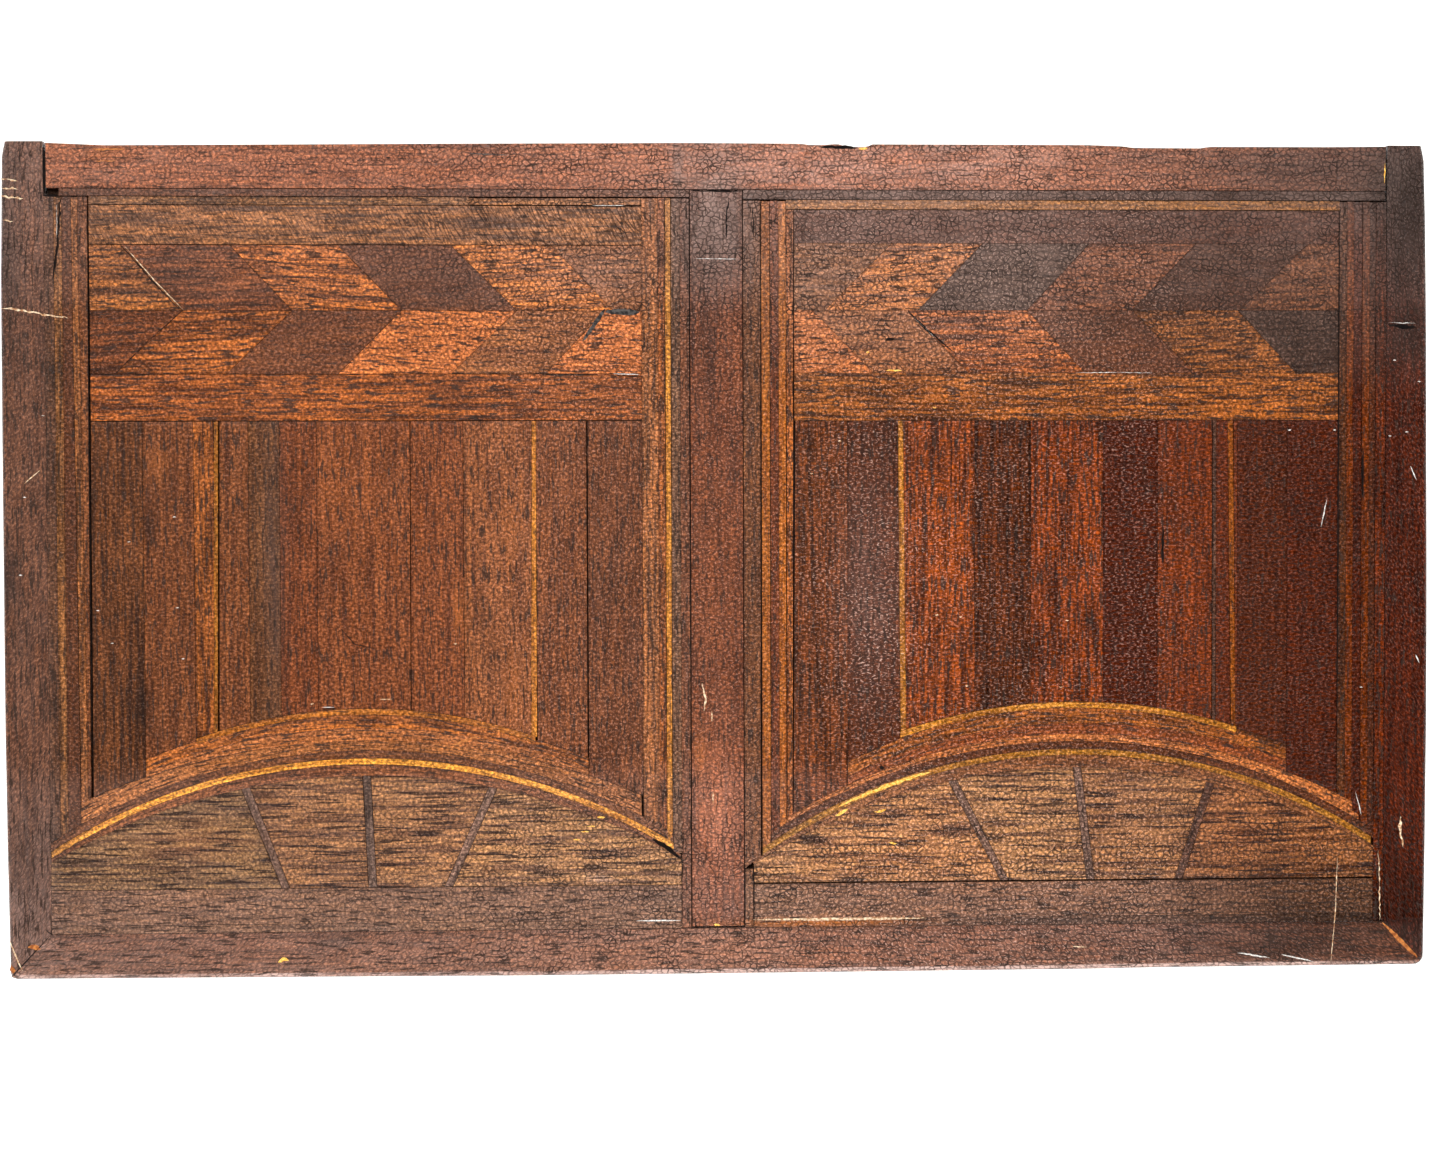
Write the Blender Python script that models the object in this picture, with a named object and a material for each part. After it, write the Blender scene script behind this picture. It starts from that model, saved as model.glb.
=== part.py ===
"""Miniature blanket chest with a parquetry lid, modelled at its real size.

The case is a plain six-board box on a low bracket base. The lid lifts off: a ground board, edged
on the front and the two ends with a strip that laps down over the case, carries two parquetry
panels each side of a centre stile. Sizes are in metres, +Z is up, the front faces -Y, and the
origin is on the floor under the middle of the lid.
"""

import math
from dataclasses import dataclass

import bmesh
import bpy

# Overall size, set by the lid
LID_LENGTH = 0.3518
LID_DEPTH = 0.2050
CHEST_HEIGHT = 0.2160

# Room left in a glued joint, and between the lid and the case it rests on
JOINT = 0.0003
LID_PLAY = 0.0008

# Lid
LID_THICKNESS = 0.0120
VENEER = 0.0015
SIDE_EDGING = 0.0112
FRONT_EDGING = 0.0118
EDGING_HEIGHT = 0.0190
EDGING_ROUND = 0.0016
EDGING_OVOLO = 0.0045
BACK_STRIP = 0.0115
CENTRE_STILE = 0.0130
CENTRE_STILE_OFFSET = -0.0017

# Case and its bracket base
CASE_WALL = 0.0080
CASE_BOTTOM = 0.0060
LID_BACK_OVERHANG = 0.0020
CASE_LOW = 0.0160
BASE_BOARD = 0.0070
BASE_LAP = 0.0180
BASE_OVOLO = 0.0040
WOOD_OVER_OPENING = 0.0050
OPENING_ROUND = 0.0080
FRONT_FOOT = 0.0460
SIDE_FOOT = 0.0380

# Bands of a panel, from the back strip forwards
TOP_BAND = 0.0133
CHEVRON_ROW = 0.0158
UNDER_BAND = 0.0116

# Bands of a panel, from the front edging backwards, as they measure at the arch's crown
BASE_BAND = 0.0107
FAN_HEIGHT = 0.0277
RAY_LAMINATION = 0.0027
ARCH_STRING = 0.0015
DARK_LAMINATION = 0.0019
INNER_LAMINATION = 0.0024
OUTER_LAMINATION = 0.0064
CROWN_STRING = 0.0016

# How far each line of the arch drops from its crown to the panel's sides
DROP_CROWN_STRING = 0.0277
DROP_OUTER_LAMINATION = 0.0230
DROP_INNER_LAMINATION = 0.0187
DROP_ARCH_STRING = 0.0232
DROP_RAY_LAMINATION = 0.0216

# Three rays inlaid in the fan, leaning in towards its foot
RAY_WIDTH = 0.0018
RAY_SPREAD_TOP = 0.0300
RAY_SPREAD_FOOT = 0.0200

# Facets of a curve
ARC_STEPS = 5
SPAN_STEPS = 5
SWEEP_STEPS = 28

# Widths of the pieces across each panel, which share out the field between its borders
LEFT_STAVES = (0.0124, 0.0122, 0.0208, 0.0312, 0.0134, 0.0171, 0.0132, 0.0137)
RIGHT_STAVES = (0.0130, 0.0133, 0.0182, 0.0140, 0.0175, 0.0145, 0.0192, 0.0128, 0.0126)
LEFT_CHEVRONS = (0.0224, 0.0265, 0.0265, 0.0280, 0.0233, 0.0073)
RIGHT_CHEVRONS = (0.0060, 0.0233, 0.0282, 0.0260, 0.0268, 0.0248)
LEFT_OUTER_BORDER = 0.0108
LEFT_INNER_BORDER = 0.0115
RIGHT_OUTER_BORDER = 0.0121
RIGHT_INNER_BORDER = 0.0125

# Heights and reaches that follow from the sizes above
LID_UNDERSIDE = CHEST_HEIGHT - LID_THICKNESS
GROUND_THICKNESS = LID_THICKNESS - VENEER - JOINT
SIDE_SEAM = LID_LENGTH / 2 - SIDE_EDGING
FRONT_SEAM = -LID_DEPTH / 2 + FRONT_EDGING
BACK_EDGE = LID_DEPTH / 2
BACK_SEAM = BACK_EDGE - BACK_STRIP
STILE_LOW = CENTRE_STILE_OFFSET - CENTRE_STILE / 2
STILE_HIGH = CENTRE_STILE_OFFSET + CENTRE_STILE / 2
CASE_SIDE = SIDE_SEAM - LID_PLAY
CASE_FRONT = FRONT_SEAM + LID_PLAY
CASE_BACK = BACK_EDGE - LID_BACK_OVERHANG
CASE_HIGH = LID_UNDERSIDE - JOINT
BASE_HEIGHT = CASE_LOW + BASE_LAP
OPENING_HEIGHT = CASE_LOW - WOOD_OVER_OPENING

# Lines across a panel
CHEVRON_TOP = BACK_SEAM - TOP_BAND
CHEVRON_MIDDLE = CHEVRON_TOP - CHEVRON_ROW
CHEVRON_FOOT = CHEVRON_MIDDLE - CHEVRON_ROW
STAVE_TOP = CHEVRON_FOOT - UNDER_BAND
FAN_FOOT = FRONT_SEAM + BASE_BAND
FAN_CROWN = FAN_FOOT + FAN_HEIGHT
STRING_FOOT = FAN_CROWN + RAY_LAMINATION
STRING_TOP = STRING_FOOT + ARCH_STRING
DARK_TOP = STRING_TOP + DARK_LAMINATION
INNER_TOP = DARK_TOP + INNER_LAMINATION
OUTER_TOP = INNER_TOP + OUTER_LAMINATION
CROWN_TOP = OUTER_TOP + CROWN_STRING

HALF = JOINT / 2
# A sloping joint is measured along X, so it takes a little more to keep the same room
SLOPING_HALF = HALF * math.sqrt(2)


@dataclass(frozen=True)
class Finish:
    """A timber, with its colour as linear red, green and blue, and its gloss."""

    name: str
    colour: tuple
    roughness: float


FRAME_WOOD = Finish("frame_mahogany", (0.105, 0.036, 0.020), 0.32)
CASE_WOOD = Finish("case_mahogany", (0.090, 0.030, 0.017), 0.38)
GROUND_WOOD = Finish("ground_board", (0.110, 0.052, 0.028), 0.60)
DARK_WOOD = Finish("dark_rosewood", (0.070, 0.030, 0.020), 0.32)
RED_WOOD = Finish("red_mahogany", (0.180, 0.050, 0.022), 0.32)
ORANGE_WOOD = Finish("orange_padauk", (0.290, 0.085, 0.026), 0.32)
BROWN_WOOD = Finish("brown_walnut", (0.120, 0.046, 0.022), 0.32)
STREAKED_WOOD = Finish("streaked_fan_wood", (0.200, 0.072, 0.032), 0.34)
STRING_WOOD = Finish("satinwood_string", (0.560, 0.240, 0.055), 0.30)


@dataclass(frozen=True)
class Panel:
    """One parquetry panel: its side, its reach along X, its borders and the widths of its pieces."""

    side: str
    low: float
    high: float
    low_border: float
    high_border: float
    stave_widths: tuple
    chevron_widths: tuple
    points_to: int
    stave_finishes: tuple
    chevron_finishes: tuple

    @property
    def field_low(self):
        """The X where the low border ends."""
        return self.low + self.low_border

    @property
    def field_high(self):
        """The X where the high border starts."""
        return self.high - self.high_border

    @property
    def crown(self):
        """The X under the arch's crown."""
        return (self.low + self.high) / 2

    def seams(self, widths):
        """The X of every seam across the field, shared out as the widths are."""
        scale = (self.field_high - self.field_low) / sum(widths)
        seams = [self.field_low]
        for width in widths:
            seams.append(seams[-1] + width * scale)
        return seams

    def arch(self, x, crown_y, drop):
        """The Y of an arch line: a circle through its crown that drops by drop at the panel's sides."""
        half = (self.high - self.low) / 2
        radius = (half * half + drop * drop) / (2 * drop)
        away = x - self.crown
        return crown_y - radius + math.sqrt(radius * radius - away * away)


LEFT_PANEL = Panel(
    side="left",
    low=-SIDE_SEAM,
    high=STILE_LOW,
    low_border=LEFT_OUTER_BORDER,
    high_border=LEFT_INNER_BORDER,
    stave_widths=LEFT_STAVES,
    chevron_widths=LEFT_CHEVRONS,
    points_to=1,
    stave_finishes=(
        BROWN_WOOD,
        RED_WOOD,
        ORANGE_WOOD,
        RED_WOOD,
        BROWN_WOOD,
        ORANGE_WOOD,
        RED_WOOD,
        BROWN_WOOD,
    ),
    chevron_finishes=(RED_WOOD, ORANGE_WOOD, DARK_WOOD, ORANGE_WOOD, RED_WOOD, ORANGE_WOOD),
)
RIGHT_PANEL = Panel(
    side="right",
    low=STILE_HIGH,
    high=SIDE_SEAM,
    low_border=RIGHT_INNER_BORDER,
    high_border=RIGHT_OUTER_BORDER,
    stave_widths=RIGHT_STAVES,
    chevron_widths=RIGHT_CHEVRONS,
    points_to=-1,
    stave_finishes=(
        BROWN_WOOD,
        RED_WOOD,
        ORANGE_WOOD,
        DARK_WOOD,
        ORANGE_WOOD,
        DARK_WOOD,
        RED_WOOD,
        DARK_WOOD,
        BROWN_WOOD,
    ),
    chevron_finishes=(ORANGE_WOOD, RED_WOOD, DARK_WOOD, RED_WOOD, DARK_WOOD, RED_WOOD),
)


def clear_scene():
    """Remove what the scene starts with."""
    for item in list(bpy.data.objects):
        bpy.data.objects.remove(item, do_unlink=True)


def material_of(finish):
    """The Principled material of a finish, made once."""
    material = bpy.data.materials.get(finish.name)
    if material is None:
        material = bpy.data.materials.new(finish.name)
        material.use_nodes = True
        shader = material.node_tree.nodes["Principled BSDF"]
        shader.inputs["Base Color"].default_value = (*finish.colour, 1.0)
        shader.inputs["Roughness"].default_value = finish.roughness
        shader.inputs["Metallic"].default_value = 0.0
    return material


def add_empty(name, height):
    """An empty that carries the pieces of one sub-assembly at its height."""
    empty = bpy.data.objects.new(name, None)
    empty.location.z = height
    bpy.context.scene.collection.objects.link(empty)
    return empty


def add_piece(name, bm, finish, parent, location=(0.0, 0.0, 0.0)):
    """Turn a bmesh into a named object on its parent."""
    bmesh.ops.recalc_face_normals(bm, faces=bm.faces)
    mesh = bpy.data.meshes.new(name)
    bm.to_mesh(mesh)
    bm.free()
    mesh.materials.append(material_of(finish))
    piece = bpy.data.objects.new(name, mesh)
    piece.parent = parent
    piece.location = location
    bpy.context.scene.collection.objects.link(piece)
    return piece


def loft(first, second):
    """A closed bmesh between two outlines with as many points as each other."""
    bm = bmesh.new()
    rings = [[bm.verts.new(point) for point in outline] for outline in (first, second)]
    bm.faces.new(rings[0])
    bm.faces.new(list(reversed(rings[1])))
    count = len(first)
    for i in range(count):
        j = (i + 1) % count
        bm.faces.new((rings[0][i], rings[1][i], rings[1][j], rings[0][j]))
    return bm


def add_plate(name, outline, low, high, finish, parent):
    """A flat piece with an outline in X and Y, from the height low up to high."""
    bm = loft(
        [(x, y, 0.0) for x, y in outline],
        [(x, y, high - low) for x, y in outline],
    )
    return add_piece(name, bm, finish, parent, (0.0, 0.0, low))


def add_board(name, low, high, finish, parent):
    """A squared board between two corners, placed by its middle."""
    middle = [(a + b) / 2 for a, b in zip(low, high)]
    bm = bmesh.new()
    bmesh.ops.create_cube(bm, size=1.0)
    bmesh.ops.scale(bm, vec=[b - a for a, b in zip(low, high)], verts=bm.verts)
    return add_piece(name, bm, finish, parent, middle)


def quarter(centre, radius, start):
    """Points along a quarter circle in a section, from the angle start, turning left."""
    step = math.pi / 2 / ARC_STEPS
    return [
        (
            centre[0] + radius * math.cos(start + step * i),
            centre[1] + radius * math.sin(start + step * i),
        )
        for i in range(ARC_STEPS + 1)
    ]


def edging_section(width):
    """The lid edging's section: an ovolo under it and a small round on its top arris."""
    section = [(0.0, -EDGING_HEIGHT + LID_THICKNESS)]
    low = LID_THICKNESS - EDGING_HEIGHT
    section += quarter((width - EDGING_OVOLO, low + EDGING_OVOLO), EDGING_OVOLO, -math.pi / 2)
    section += quarter((width - EDGING_ROUND, LID_THICKNESS - EDGING_ROUND), EDGING_ROUND, 0.0)
    section.append((0.0, LID_THICKNESS))
    return section


def add_edging(parent):
    """The three strips round the lid's front and ends, mitred where they meet."""
    front_slope = SIDE_EDGING / FRONT_EDGING
    section = edging_section(FRONT_EDGING)

    def front_end(side):
        return [
            (side * (SIDE_SEAM + out * front_slope - SLOPING_HALF), FRONT_SEAM - out, up)
            for out, up in section
        ]

    add_piece("lid_edging_front", loft(front_end(-1), front_end(1)), FRAME_WOOD, parent)
    side_section = edging_section(SIDE_EDGING)
    for name, side in (("lid_edging_left", -1), ("lid_edging_right", 1)):
        mitred = [
            (side * (SIDE_SEAM + out), FRONT_SEAM - out / front_slope + SLOPING_HALF, up)
            for out, up in side_section
        ]
        square = [(side * (SIDE_SEAM + out), BACK_EDGE, up) for out, up in side_section]
        add_piece(name, loft(mitred, square), FRAME_WOOD, parent)


def add_lid_frame(parent):
    """The ground board, its edging, the back strip and the centre stile."""
    reach = SIDE_SEAM - JOINT
    add_board(
        "lid_ground_board",
        (-reach, FRONT_SEAM + JOINT, 0.0),
        (reach, BACK_EDGE, GROUND_THICKNESS),
        GROUND_WOOD,
        parent,
    )
    add_edging(parent)
    add_board(
        "lid_back_strip",
        (-reach, BACK_SEAM, GROUND_THICKNESS + JOINT),
        (reach, BACK_EDGE, LID_THICKNESS),
        FRAME_WOOD,
        parent,
    )
    add_board(
        "lid_centre_stile",
        (STILE_LOW + HALF, FRONT_SEAM + JOINT, GROUND_THICKNESS + JOINT),
        (STILE_HIGH - HALF, BACK_SEAM - JOINT, LID_THICKNESS),
        FRAME_WOOD,
        parent,
    )


def add_veneer(name, outline, finish, parent):
    """A piece of the parquetry, as thick as the veneer and flush with the lid's top."""
    return add_plate(name, outline, GROUND_THICKNESS + JOINT, LID_THICKNESS, finish, parent)


def span(low, high, steps):
    """Evenly spaced values from low to high."""
    return [low + (high - low) * i / steps for i in range(steps)] + [high]


def rectangle(low_x, low_y, high_x, high_y):
    """The corners of a rectangle, drawn in by half a joint all round."""
    a, b = low_x + HALF, high_x - HALF
    c, d = low_y + HALF, high_y - HALF
    return [(a, c), (b, c), (b, d), (a, d)]


def foot_line(panel, index):
    """The crown and the drop of the arch line under a stave, or under the border beside the staves."""
    from_side = min(index, len(panel.stave_widths) - 1 - index)
    if from_side < 0:
        return DARK_TOP, DROP_ARCH_STRING
    if from_side == 0:
        return INNER_TOP, DROP_INNER_LAMINATION
    if from_side == 1:
        return OUTER_TOP, DROP_OUTER_LAMINATION
    return CROWN_TOP, DROP_CROWN_STRING


def add_bands(panel, parent):
    """The band above the chevrons and the one below them."""
    low, high = panel.field_low, panel.field_high
    add_veneer(
        f"{panel.side}_top_band",
        rectangle(low, CHEVRON_TOP, high, BACK_SEAM - HALF),
        DARK_WOOD,
        parent,
    )
    add_veneer(
        f"{panel.side}_under_band",
        rectangle(low, STAVE_TOP, high, CHEVRON_FOOT),
        ORANGE_WOOD,
        parent,
    )


def add_chevrons(panel, parent):
    """A row of chevrons, each fused from the two pieces that meet on its middle line."""
    tips = panel.seams(panel.chevron_widths)
    top, foot = CHEVRON_TOP - HALF, CHEVRON_FOOT + HALF
    run = CHEVRON_ROW * panel.points_to
    last = len(panel.chevron_widths) - 1
    for i, finish in enumerate(panel.chevron_finishes):
        low, high = tips[i] + SLOPING_HALF, tips[i + 1] - SLOPING_HALF
        if i == 0:
            left = [(tips[i] + HALF, top), (tips[i] + HALF, foot)]
        else:
            left = [(low - run, top), (low, CHEVRON_MIDDLE), (low - run, foot)]
        if i == last:
            right = [(tips[i + 1] - HALF, foot), (tips[i + 1] - HALF, top)]
        else:
            right = [(high - run, foot), (high, CHEVRON_MIDDLE), (high - run, top)]
        add_veneer(f"{panel.side}_chevron_{i + 1}", left + right, finish, parent)


def add_staves(panel, parent):
    """The upright staves, each cut to the arch at its foot."""
    seams = panel.seams(panel.stave_widths)
    for i, finish in enumerate(panel.stave_finishes):
        low, high = seams[i] + HALF, seams[i + 1] - HALF
        outline = [(high, STAVE_TOP - HALF), (low, STAVE_TOP - HALF)]
        line = foot_line(panel, i)
        outline += [(x, panel.arch(x, *line) + HALF) for x in span(low, high, SPAN_STEPS)]
        add_veneer(f"{panel.side}_stave_{i + 1}", outline, finish, parent)


def add_borders(panel, parent):
    """The laminated border at each side of the field, down to the arch."""
    reaches = {
        "outer" if panel.side == "left" else "inner": (panel.low, panel.field_low),
        "inner" if panel.side == "left" else "outer": (panel.field_high, panel.high),
    }
    for place, (low, high) in reaches.items():
        outline = [(high - HALF, BACK_SEAM - JOINT), (low + HALF, BACK_SEAM - JOINT)]
        outline += [
            (x, panel.arch(x, DARK_TOP, DROP_ARCH_STRING) + HALF)
            for x in span(low + HALF, high - HALF, SPAN_STEPS)
        ]
        add_veneer(f"{panel.side}_border_{place}", outline, BROWN_WOOD, parent)


def band_top(panel, low, high):
    """The arch band's upper outline. Each lamination ends at a stave's seam, which makes a step."""
    seams = panel.seams(panel.stave_widths)
    middle = len(seams) // 2
    edges = [x + HALF for x in seams[:middle]] + [x - HALF for x in seams[middle:]]
    steps = [low, *edges, high]
    outline = []
    for i in range(len(steps) - 1):
        line = foot_line(panel, i - 1)
        for x in span(steps[i], steps[i + 1], SPAN_STEPS):
            point = (x, panel.arch(x, *line) - HALF)
            if outline[-1:] != [point]:
                outline.append(point)
    return outline


def add_arch(panel, parent):
    """The arch: its stepped laminations fused into one band, and the light string under them."""
    low, high = panel.low + HALF, panel.high - HALF
    upper = band_top(panel, low, high)
    sweep = span(low, high, SWEEP_STEPS)
    lower = [(x, panel.arch(x, STRING_TOP, DROP_ARCH_STRING) + HALF) for x in sweep]
    add_veneer(f"{panel.side}_arch_band", upper + lower[::-1], ORANGE_WOOD, parent)
    top = [(x, panel.arch(x, STRING_TOP, DROP_ARCH_STRING) - HALF) for x in sweep]
    foot = [(x, panel.arch(x, STRING_FOOT, DROP_ARCH_STRING) + HALF) for x in sweep]
    add_veneer(f"{panel.side}_arch_string", top + foot[::-1], STRING_WOOD, parent)


def ray_edges(panel, ray, grow):
    """A ray's corners, down its low side and up its high side, with each side moved out by grow."""
    half_width = RAY_WIDTH / 2 + grow
    top_x = panel.crown + ray * RAY_SPREAD_TOP
    foot_x = panel.crown + ray * RAY_SPREAD_FOOT
    foot_y = FAN_FOOT + JOINT - grow
    corners = []
    for side in (-1, 1):
        x = top_x + side * half_width
        head = (x, panel.arch(x, FAN_CROWN, DROP_RAY_LAMINATION))
        corner = (foot_x + side * half_width, foot_y)
        corners += [head, corner] if side < 0 else [corner, head]
    return corners


def toothed_line(panel, grow, lift):
    """The line along the fan's crown that runs down and up again round each ray."""
    low, high = panel.low + HALF, panel.high - HALF
    line = []
    start = low
    for ray in (-1, 0, 1):
        corners = ray_edges(panel, ray, grow)
        inner = [x for x in span(low, high, SWEEP_STEPS) if start < x < corners[0][0]]
        line += [(x, panel.arch(x, FAN_CROWN, DROP_RAY_LAMINATION) + lift) for x in inner]
        line += [
            (corners[0][0], corners[0][1] + lift),
            corners[1],
            corners[2],
            (corners[3][0], corners[3][1] + lift),
        ]
        start = corners[3][0]
    inner = [x for x in span(low, high, SWEEP_STEPS) if start < x < high]
    line += [(x, panel.arch(x, FAN_CROWN, DROP_RAY_LAMINATION) + lift) for x in inner]
    ends = [
        (x, panel.arch(x, FAN_CROWN, DROP_RAY_LAMINATION) + lift) for x in (low, high)
    ]
    return [ends[0]] + line + [ends[1]]


def add_fan(panel, parent):
    """The fan: a lamination with three rays, and the field it is let into, with its base band."""
    low, high = panel.low + HALF, panel.high - HALF
    top = [
        (x, panel.arch(x, STRING_FOOT, DROP_ARCH_STRING) - HALF)
        for x in span(low, high, SWEEP_STEPS)
    ]
    rays = toothed_line(panel, 0.0, HALF)
    add_veneer(f"{panel.side}_fan_rays", top + rays[::-1], DARK_WOOD, parent)
    field = toothed_line(panel, JOINT, -HALF)
    field += [(high, FRONT_SEAM + JOINT), (low, FRONT_SEAM + JOINT)]
    add_veneer(f"{panel.side}_fan_field", field, STREAKED_WOOD, parent)


def add_panel(panel, parent):
    """All the parquetry of one panel."""
    add_bands(panel, parent)
    add_chevrons(panel, parent)
    add_staves(panel, parent)
    add_borders(panel, parent)
    add_arch(panel, parent)
    add_fan(panel, parent)


def add_case(parent):
    """The six-board box without its lid: front and back lap the ends, and the bottom lies inside."""
    height = CASE_HIGH - CASE_LOW
    add_board(
        "case_front",
        (-CASE_SIDE, CASE_FRONT, 0.0),
        (CASE_SIDE, CASE_FRONT + CASE_WALL, height),
        CASE_WOOD,
        parent,
    )
    add_board(
        "case_back",
        (-CASE_SIDE, CASE_BACK - CASE_WALL, 0.0),
        (CASE_SIDE, CASE_BACK, height),
        CASE_WOOD,
        parent,
    )
    inner_front = CASE_FRONT + CASE_WALL + JOINT
    inner_back = CASE_BACK - CASE_WALL - JOINT
    inner_side = CASE_SIDE - CASE_WALL
    for name, low, high in (
        ("case_left_end", -CASE_SIDE, -inner_side),
        ("case_right_end", inner_side, CASE_SIDE),
    ):
        add_board(name, (low, inner_front, 0.0), (high, inner_back, height), CASE_WOOD, parent)
    add_board(
        "case_bottom",
        (-inner_side + JOINT, inner_front, 0.0),
        (inner_side - JOINT, inner_back, CASE_BOTTOM),
        GROUND_WOOD,
        parent,
    )


def base_section(height):
    """The base board's section, with an ovolo along its top."""
    return [
        (0.0, 0.0),
        (BASE_BOARD, 0.0),
        *quarter((BASE_BOARD - BASE_OVOLO, height - BASE_OVOLO), BASE_OVOLO, 0.0),
        (0.0, height),
    ]


def add_opening_cutter(name, half_width, across, parent):
    """The prism that opens a base board between its feet, with rounded upper corners."""
    round_low = OPENING_HEIGHT - OPENING_ROUND
    right = quarter((half_width - OPENING_ROUND, round_low), OPENING_ROUND, 0.0)
    left = quarter((-half_width + OPENING_ROUND, round_low), OPENING_ROUND, math.pi / 2)
    outline = [(half_width, -BASE_BOARD), *right, *left, (-half_width, -BASE_BOARD)]
    near, far = across
    cutter = add_piece(
        name,
        loft([(x, near, z) for x, z in outline], [(x, far, z) for x, z in outline]),
        CASE_WOOD,
        parent,
    )
    cutter.hide_render = True
    cutter.display_type = "WIRE"
    return cutter


def cut(piece, cutter):
    """Cut the cutter's shape out of a piece."""
    boolean = piece.modifiers.new("opening between the feet", "BOOLEAN")
    boolean.operation = "DIFFERENCE"
    boolean.object = cutter
    boolean.solver = "EXACT"


def add_base(parent):
    """The bracket base: a moulded board round the front and ends, and a plain rail at the back."""
    side_face = CASE_SIDE + JOINT
    front_face = CASE_FRONT - JOINT
    section = base_section(BASE_HEIGHT)
    past = 2 * BASE_BOARD

    def front_end(side):
        return [
            (side * (side_face + out - SLOPING_HALF), front_face - out, up)
            for out, up in section
        ]

    front = add_piece("base_front", loft(front_end(-1), front_end(1)), CASE_WOOD, parent)
    half_opening = side_face + BASE_BOARD - FRONT_FOOT
    across = (front_face - past, front_face + BASE_BOARD)
    cut(front, add_opening_cutter("front_opening_cutter", half_opening, across, parent))

    rail_side = side_face - HALF
    rail = add_board(
        "base_back_rail",
        (-rail_side, CASE_BACK - BASE_BOARD, 0.0),
        (rail_side, CASE_BACK, CASE_LOW - JOINT),
        CASE_WOOD,
        parent,
    )
    back_across = (CASE_BACK - past, CASE_BACK + BASE_BOARD)
    cut(rail, add_opening_cutter("back_opening_cutter", half_opening, back_across, parent))

    depth_middle = (front_face - BASE_BOARD + CASE_BACK) / 2
    half_side_opening = (CASE_BACK - front_face + BASE_BOARD) / 2 - SIDE_FOOT
    for name, side in (("base_left", -1), ("base_right", 1)):
        face = side_face + HALF
        mitred = [(side * (face + out), front_face - out + SLOPING_HALF, up) for out, up in section]
        square = [(side * (face + out), CASE_BACK, up) for out, up in section]
        board = add_piece(name, loft(mitred, square), CASE_WOOD, parent)
        cutter = add_opening_cutter(
            f"{name}_opening_cutter",
            half_side_opening,
            (-past, past),
            parent,
        )
        cutter.rotation_euler.z = math.pi / 2
        cutter.location = (side * face, depth_middle, 0.0)
        cut(board, cutter)


def build():
    """Model the whole chest."""
    clear_scene()
    add_base(add_empty("base", 0.0))
    add_case(add_empty("case", CASE_LOW))
    lid = add_empty("lid", LID_UNDERSIDE)
    add_lid_frame(lid)
    for panel in (LEFT_PANEL, RIGHT_PANEL):
        add_panel(panel, lid)


build()
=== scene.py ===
"""The miniature blanket chest: crazed old varnish over a parquetry lid, on a plain case.

Lid coordinates are millimetres over the lid's top: x runs to its right-hand end, y to its back, and
the origin is under the lid's middle. Every mesh is made in metres in the chest's own frame.
"""

import logging
import math
import zlib
from collections.abc import Sequence
from dataclasses import dataclass, field
from enum import Enum
from functools import cache

import bmesh
import bpy
import numpy as np
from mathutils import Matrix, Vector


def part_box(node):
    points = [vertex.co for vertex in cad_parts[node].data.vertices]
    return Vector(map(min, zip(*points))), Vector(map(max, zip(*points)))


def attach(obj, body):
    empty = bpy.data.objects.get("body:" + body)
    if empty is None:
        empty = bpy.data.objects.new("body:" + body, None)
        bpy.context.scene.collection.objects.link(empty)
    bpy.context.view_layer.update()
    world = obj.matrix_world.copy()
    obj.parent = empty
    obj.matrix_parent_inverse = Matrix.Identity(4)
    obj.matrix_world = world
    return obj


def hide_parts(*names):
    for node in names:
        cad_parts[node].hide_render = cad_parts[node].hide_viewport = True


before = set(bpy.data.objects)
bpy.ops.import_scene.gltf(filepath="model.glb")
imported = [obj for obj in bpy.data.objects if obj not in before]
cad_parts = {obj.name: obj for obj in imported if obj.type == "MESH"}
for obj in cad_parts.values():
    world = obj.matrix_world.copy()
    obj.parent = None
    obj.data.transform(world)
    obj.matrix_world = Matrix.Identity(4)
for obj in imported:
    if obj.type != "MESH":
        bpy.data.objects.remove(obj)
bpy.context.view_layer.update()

LOG = logging.getLogger("blanket_chest")
MM = 0.001
LID_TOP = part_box("lid_centre_stile")[1].z / MM
VENEER_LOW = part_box("lid_centre_stile")[0].z / MM
SIDE_SEAM = 164.7  # x of the joint between veneer and side edging
FRONT_SEAM = -90.7  # y of the joint between veneer and front edging
LID_BACK = 102.3  # y of the lid's back end
GROUND = 164.4  # Half the length of the ground board and the back strip
GRID = 1.25  # Distance between points on the lid's top
ARRIS = 0.16  # How far inside its rim a piece of veneer starts to round over
RIM_DROP = 0.07  # How far its rim lies lower
CUP, CUP_WIDTH = 0.03, 2.5  # How far its sides sink, and over what width
TOP_BAND = 1.7  # How far under the lid's top an edging still follows its waves
END_GRAIN = 0.3  # How much of a pore's size shows on end grain
SOFTEN = 35.0  # Degrees under which a board's neighbouring faces share their shading
FLECK = 0.4  # Half the length of a fleck

Array = np.ndarray
Pair = tuple[float, float]
Section = tuple[Pair, ...]
Socket = bpy.types.NodeSocket


def linear(colour: str) -> tuple[float, float, float, float]:
    """Turn an sRGB hex colour into linear light.

    Args:
        colour: Six hex digits, with or without a leading hash.

    Returns:
        Red, green, blue and an alpha of 1.
    """
    digits = colour.lstrip("#")
    share = np.array([int(digits[i : i + 2], 16) for i in (0, 2, 4)]) / 255
    light = np.where(share <= 0.04045, share / 12.92, ((share + 0.055) / 1.055) ** 2.4)
    return (*map(float, light), 1.0)


def smooth(value: Array, low: float, high: float) -> Array:
    """A step that eases from 0 at low to 1 at high: 3s² - 2s³ of the share s of the way."""
    share = np.clip((value - low) / (high - low), 0, 1)
    return share * share * (3 - 2 * share)


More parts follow.
